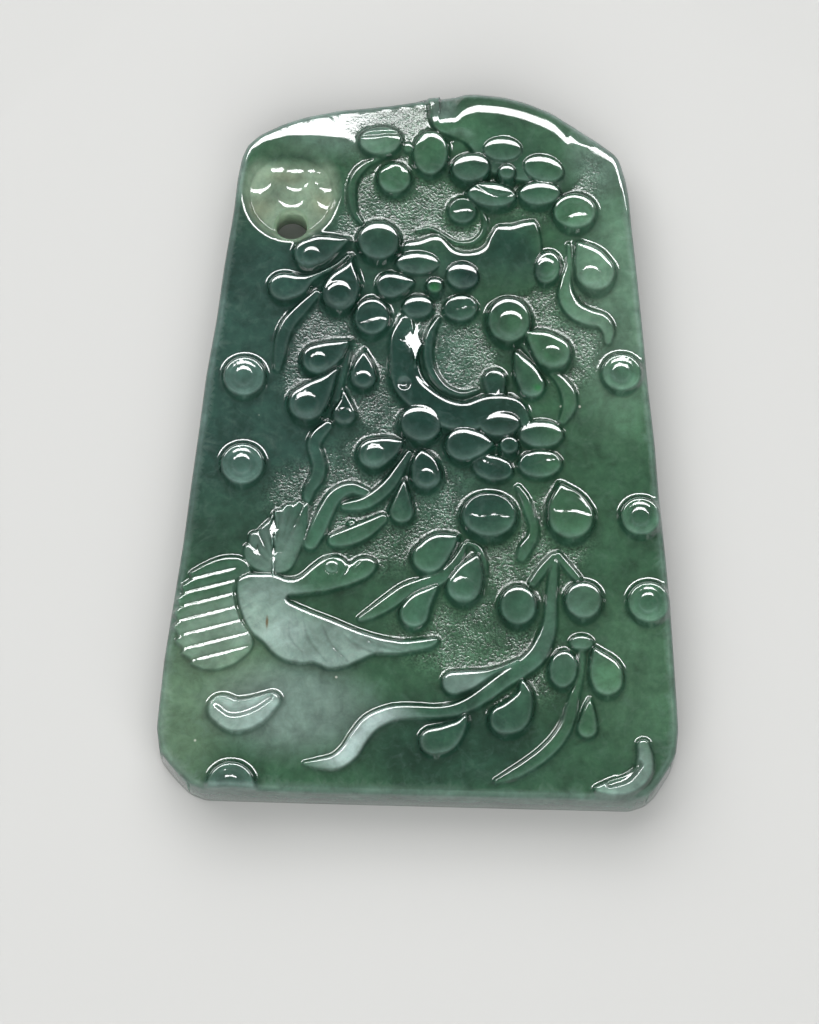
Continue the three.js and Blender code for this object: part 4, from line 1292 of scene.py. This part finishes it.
stone = mixed(times(oval_mark(*brown_mark), 0.85), stone, amber)
stone = mixed(times(specks(700, 0.1, 0.12), 0.8), stone, pale_speck)
stone = mixed(times(specks(330, 0.07, 0.08), 0.8), stone, rust_speck)
links.new(stone, polish.inputs["Base Color"])
links.new(between(frosted, 0, 1, polish_roughness, frost_roughness), polish.inputs["Roughness"])
polish.inputs["IOR"].default_value = jadeite_index
polish.inputs["Subsurface Weight"].default_value = 0.45
polish.inputs["Subsurface Radius"].default_value = (0.5, 1.0, 0.8)
polish.inputs["Subsurface Scale"].default_value = 0.0012
stipple = nodes.new("ShaderNodeBump")
stipple.inputs["Distance"].default_value = 0.0001
links.new(frosted, stipple.inputs["Strength"])
links.new(stone_noise(stipple_scale, 2, 0.6), stipple.inputs["Height"])
links.new(stipple.outputs["Normal"], polish.inputs["Normal"])
mesh.materials.append(jade)
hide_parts("pendant")
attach(pendant, "root")

# Plain pale floor, a matt sheet that the plaque lies on. It belongs to the studio and not to the object.
floor_half = 1.5
floor_grey = (0.42, 0.42, 0.41, 1)
floor_corners = [(-floor_half, -floor_half, 0), (floor_half, -floor_half, 0),
                 (floor_half, floor_half, 0), (-floor_half, floor_half, 0)]
floor_mesh = bpy.data.meshes.new("floor")
floor_mesh.from_pydata(floor_corners, [], [(0, 1, 2, 3)])
floor = bpy.data.objects.new("floor", floor_mesh)
bpy.context.scene.collection.objects.link(floor)
floor_paint = bpy.data.materials.new("pale floor")
floor_paint.use_nodes = True
floor_sheet = floor_paint.node_tree.nodes["Principled BSDF"]
floor_sheet.inputs["Base Color"].default_value = floor_grey
floor_sheet.inputs["Roughness"].default_value = 0.8
floor_mesh.materials.append(floor_paint)

# Studio light: a long low softbox beyond the arch, whose reflection draws the bright lines on every
# shoulder, and two broad lights through polarising film, one beyond and one on the near side, which leave
# no reflection.
softbox_distance = 0.6
softbox_tilt = math.radians(49)
softbox_size, softbox_power = (1.12, 0.165), 11.0
broad_size = (1.6, 1.2)
broad_lights = [("key light", (-0.25, 0.6, 0.75), 16.5), ("fill light", (0.1, -0.75, 0.75), 19.0)]
room_colour = (0.95, 0.98, 1.0, 1)
room_strength = 0.16


def area_light(name, place, size, power):
    """A flat lamp that faces the middle of the plaque."""
    light = bpy.data.lights.new(name, "AREA")
    light.shape = "RECTANGLE"
    light.size, light.size_y = size
    light.energy = power
    lamp = bpy.data.objects.new(name, light)
    bpy.context.scene.collection.objects.link(lamp)
    lamp.location = place
    lamp.rotation_euler = (face_middle - place).to_track_quat("-Z", "Y").to_euler()
    return lamp


softbox_place = face_middle + softbox_distance * Vector((0, math.sin(softbox_tilt), math.cos(softbox_tilt)))
softbox = area_light("softbox", softbox_place, softbox_size, softbox_power)
softbox.visible_diffuse = False
for name, place, power in broad_lights:
    broad_light = area_light(name, Vector(place), broad_size, power)
    broad_light.visible_glossy = False
world = bpy.data.worlds.new("studio")
world.use_nodes = True
world.node_tree.nodes["Background"].inputs["Color"].default_value = room_colour
world.node_tree.nodes["Background"].inputs["Strength"].default_value = room_strength
bpy.context.scene.world = world
bpy.context.scene.view_settings.view_transform = "Standard"
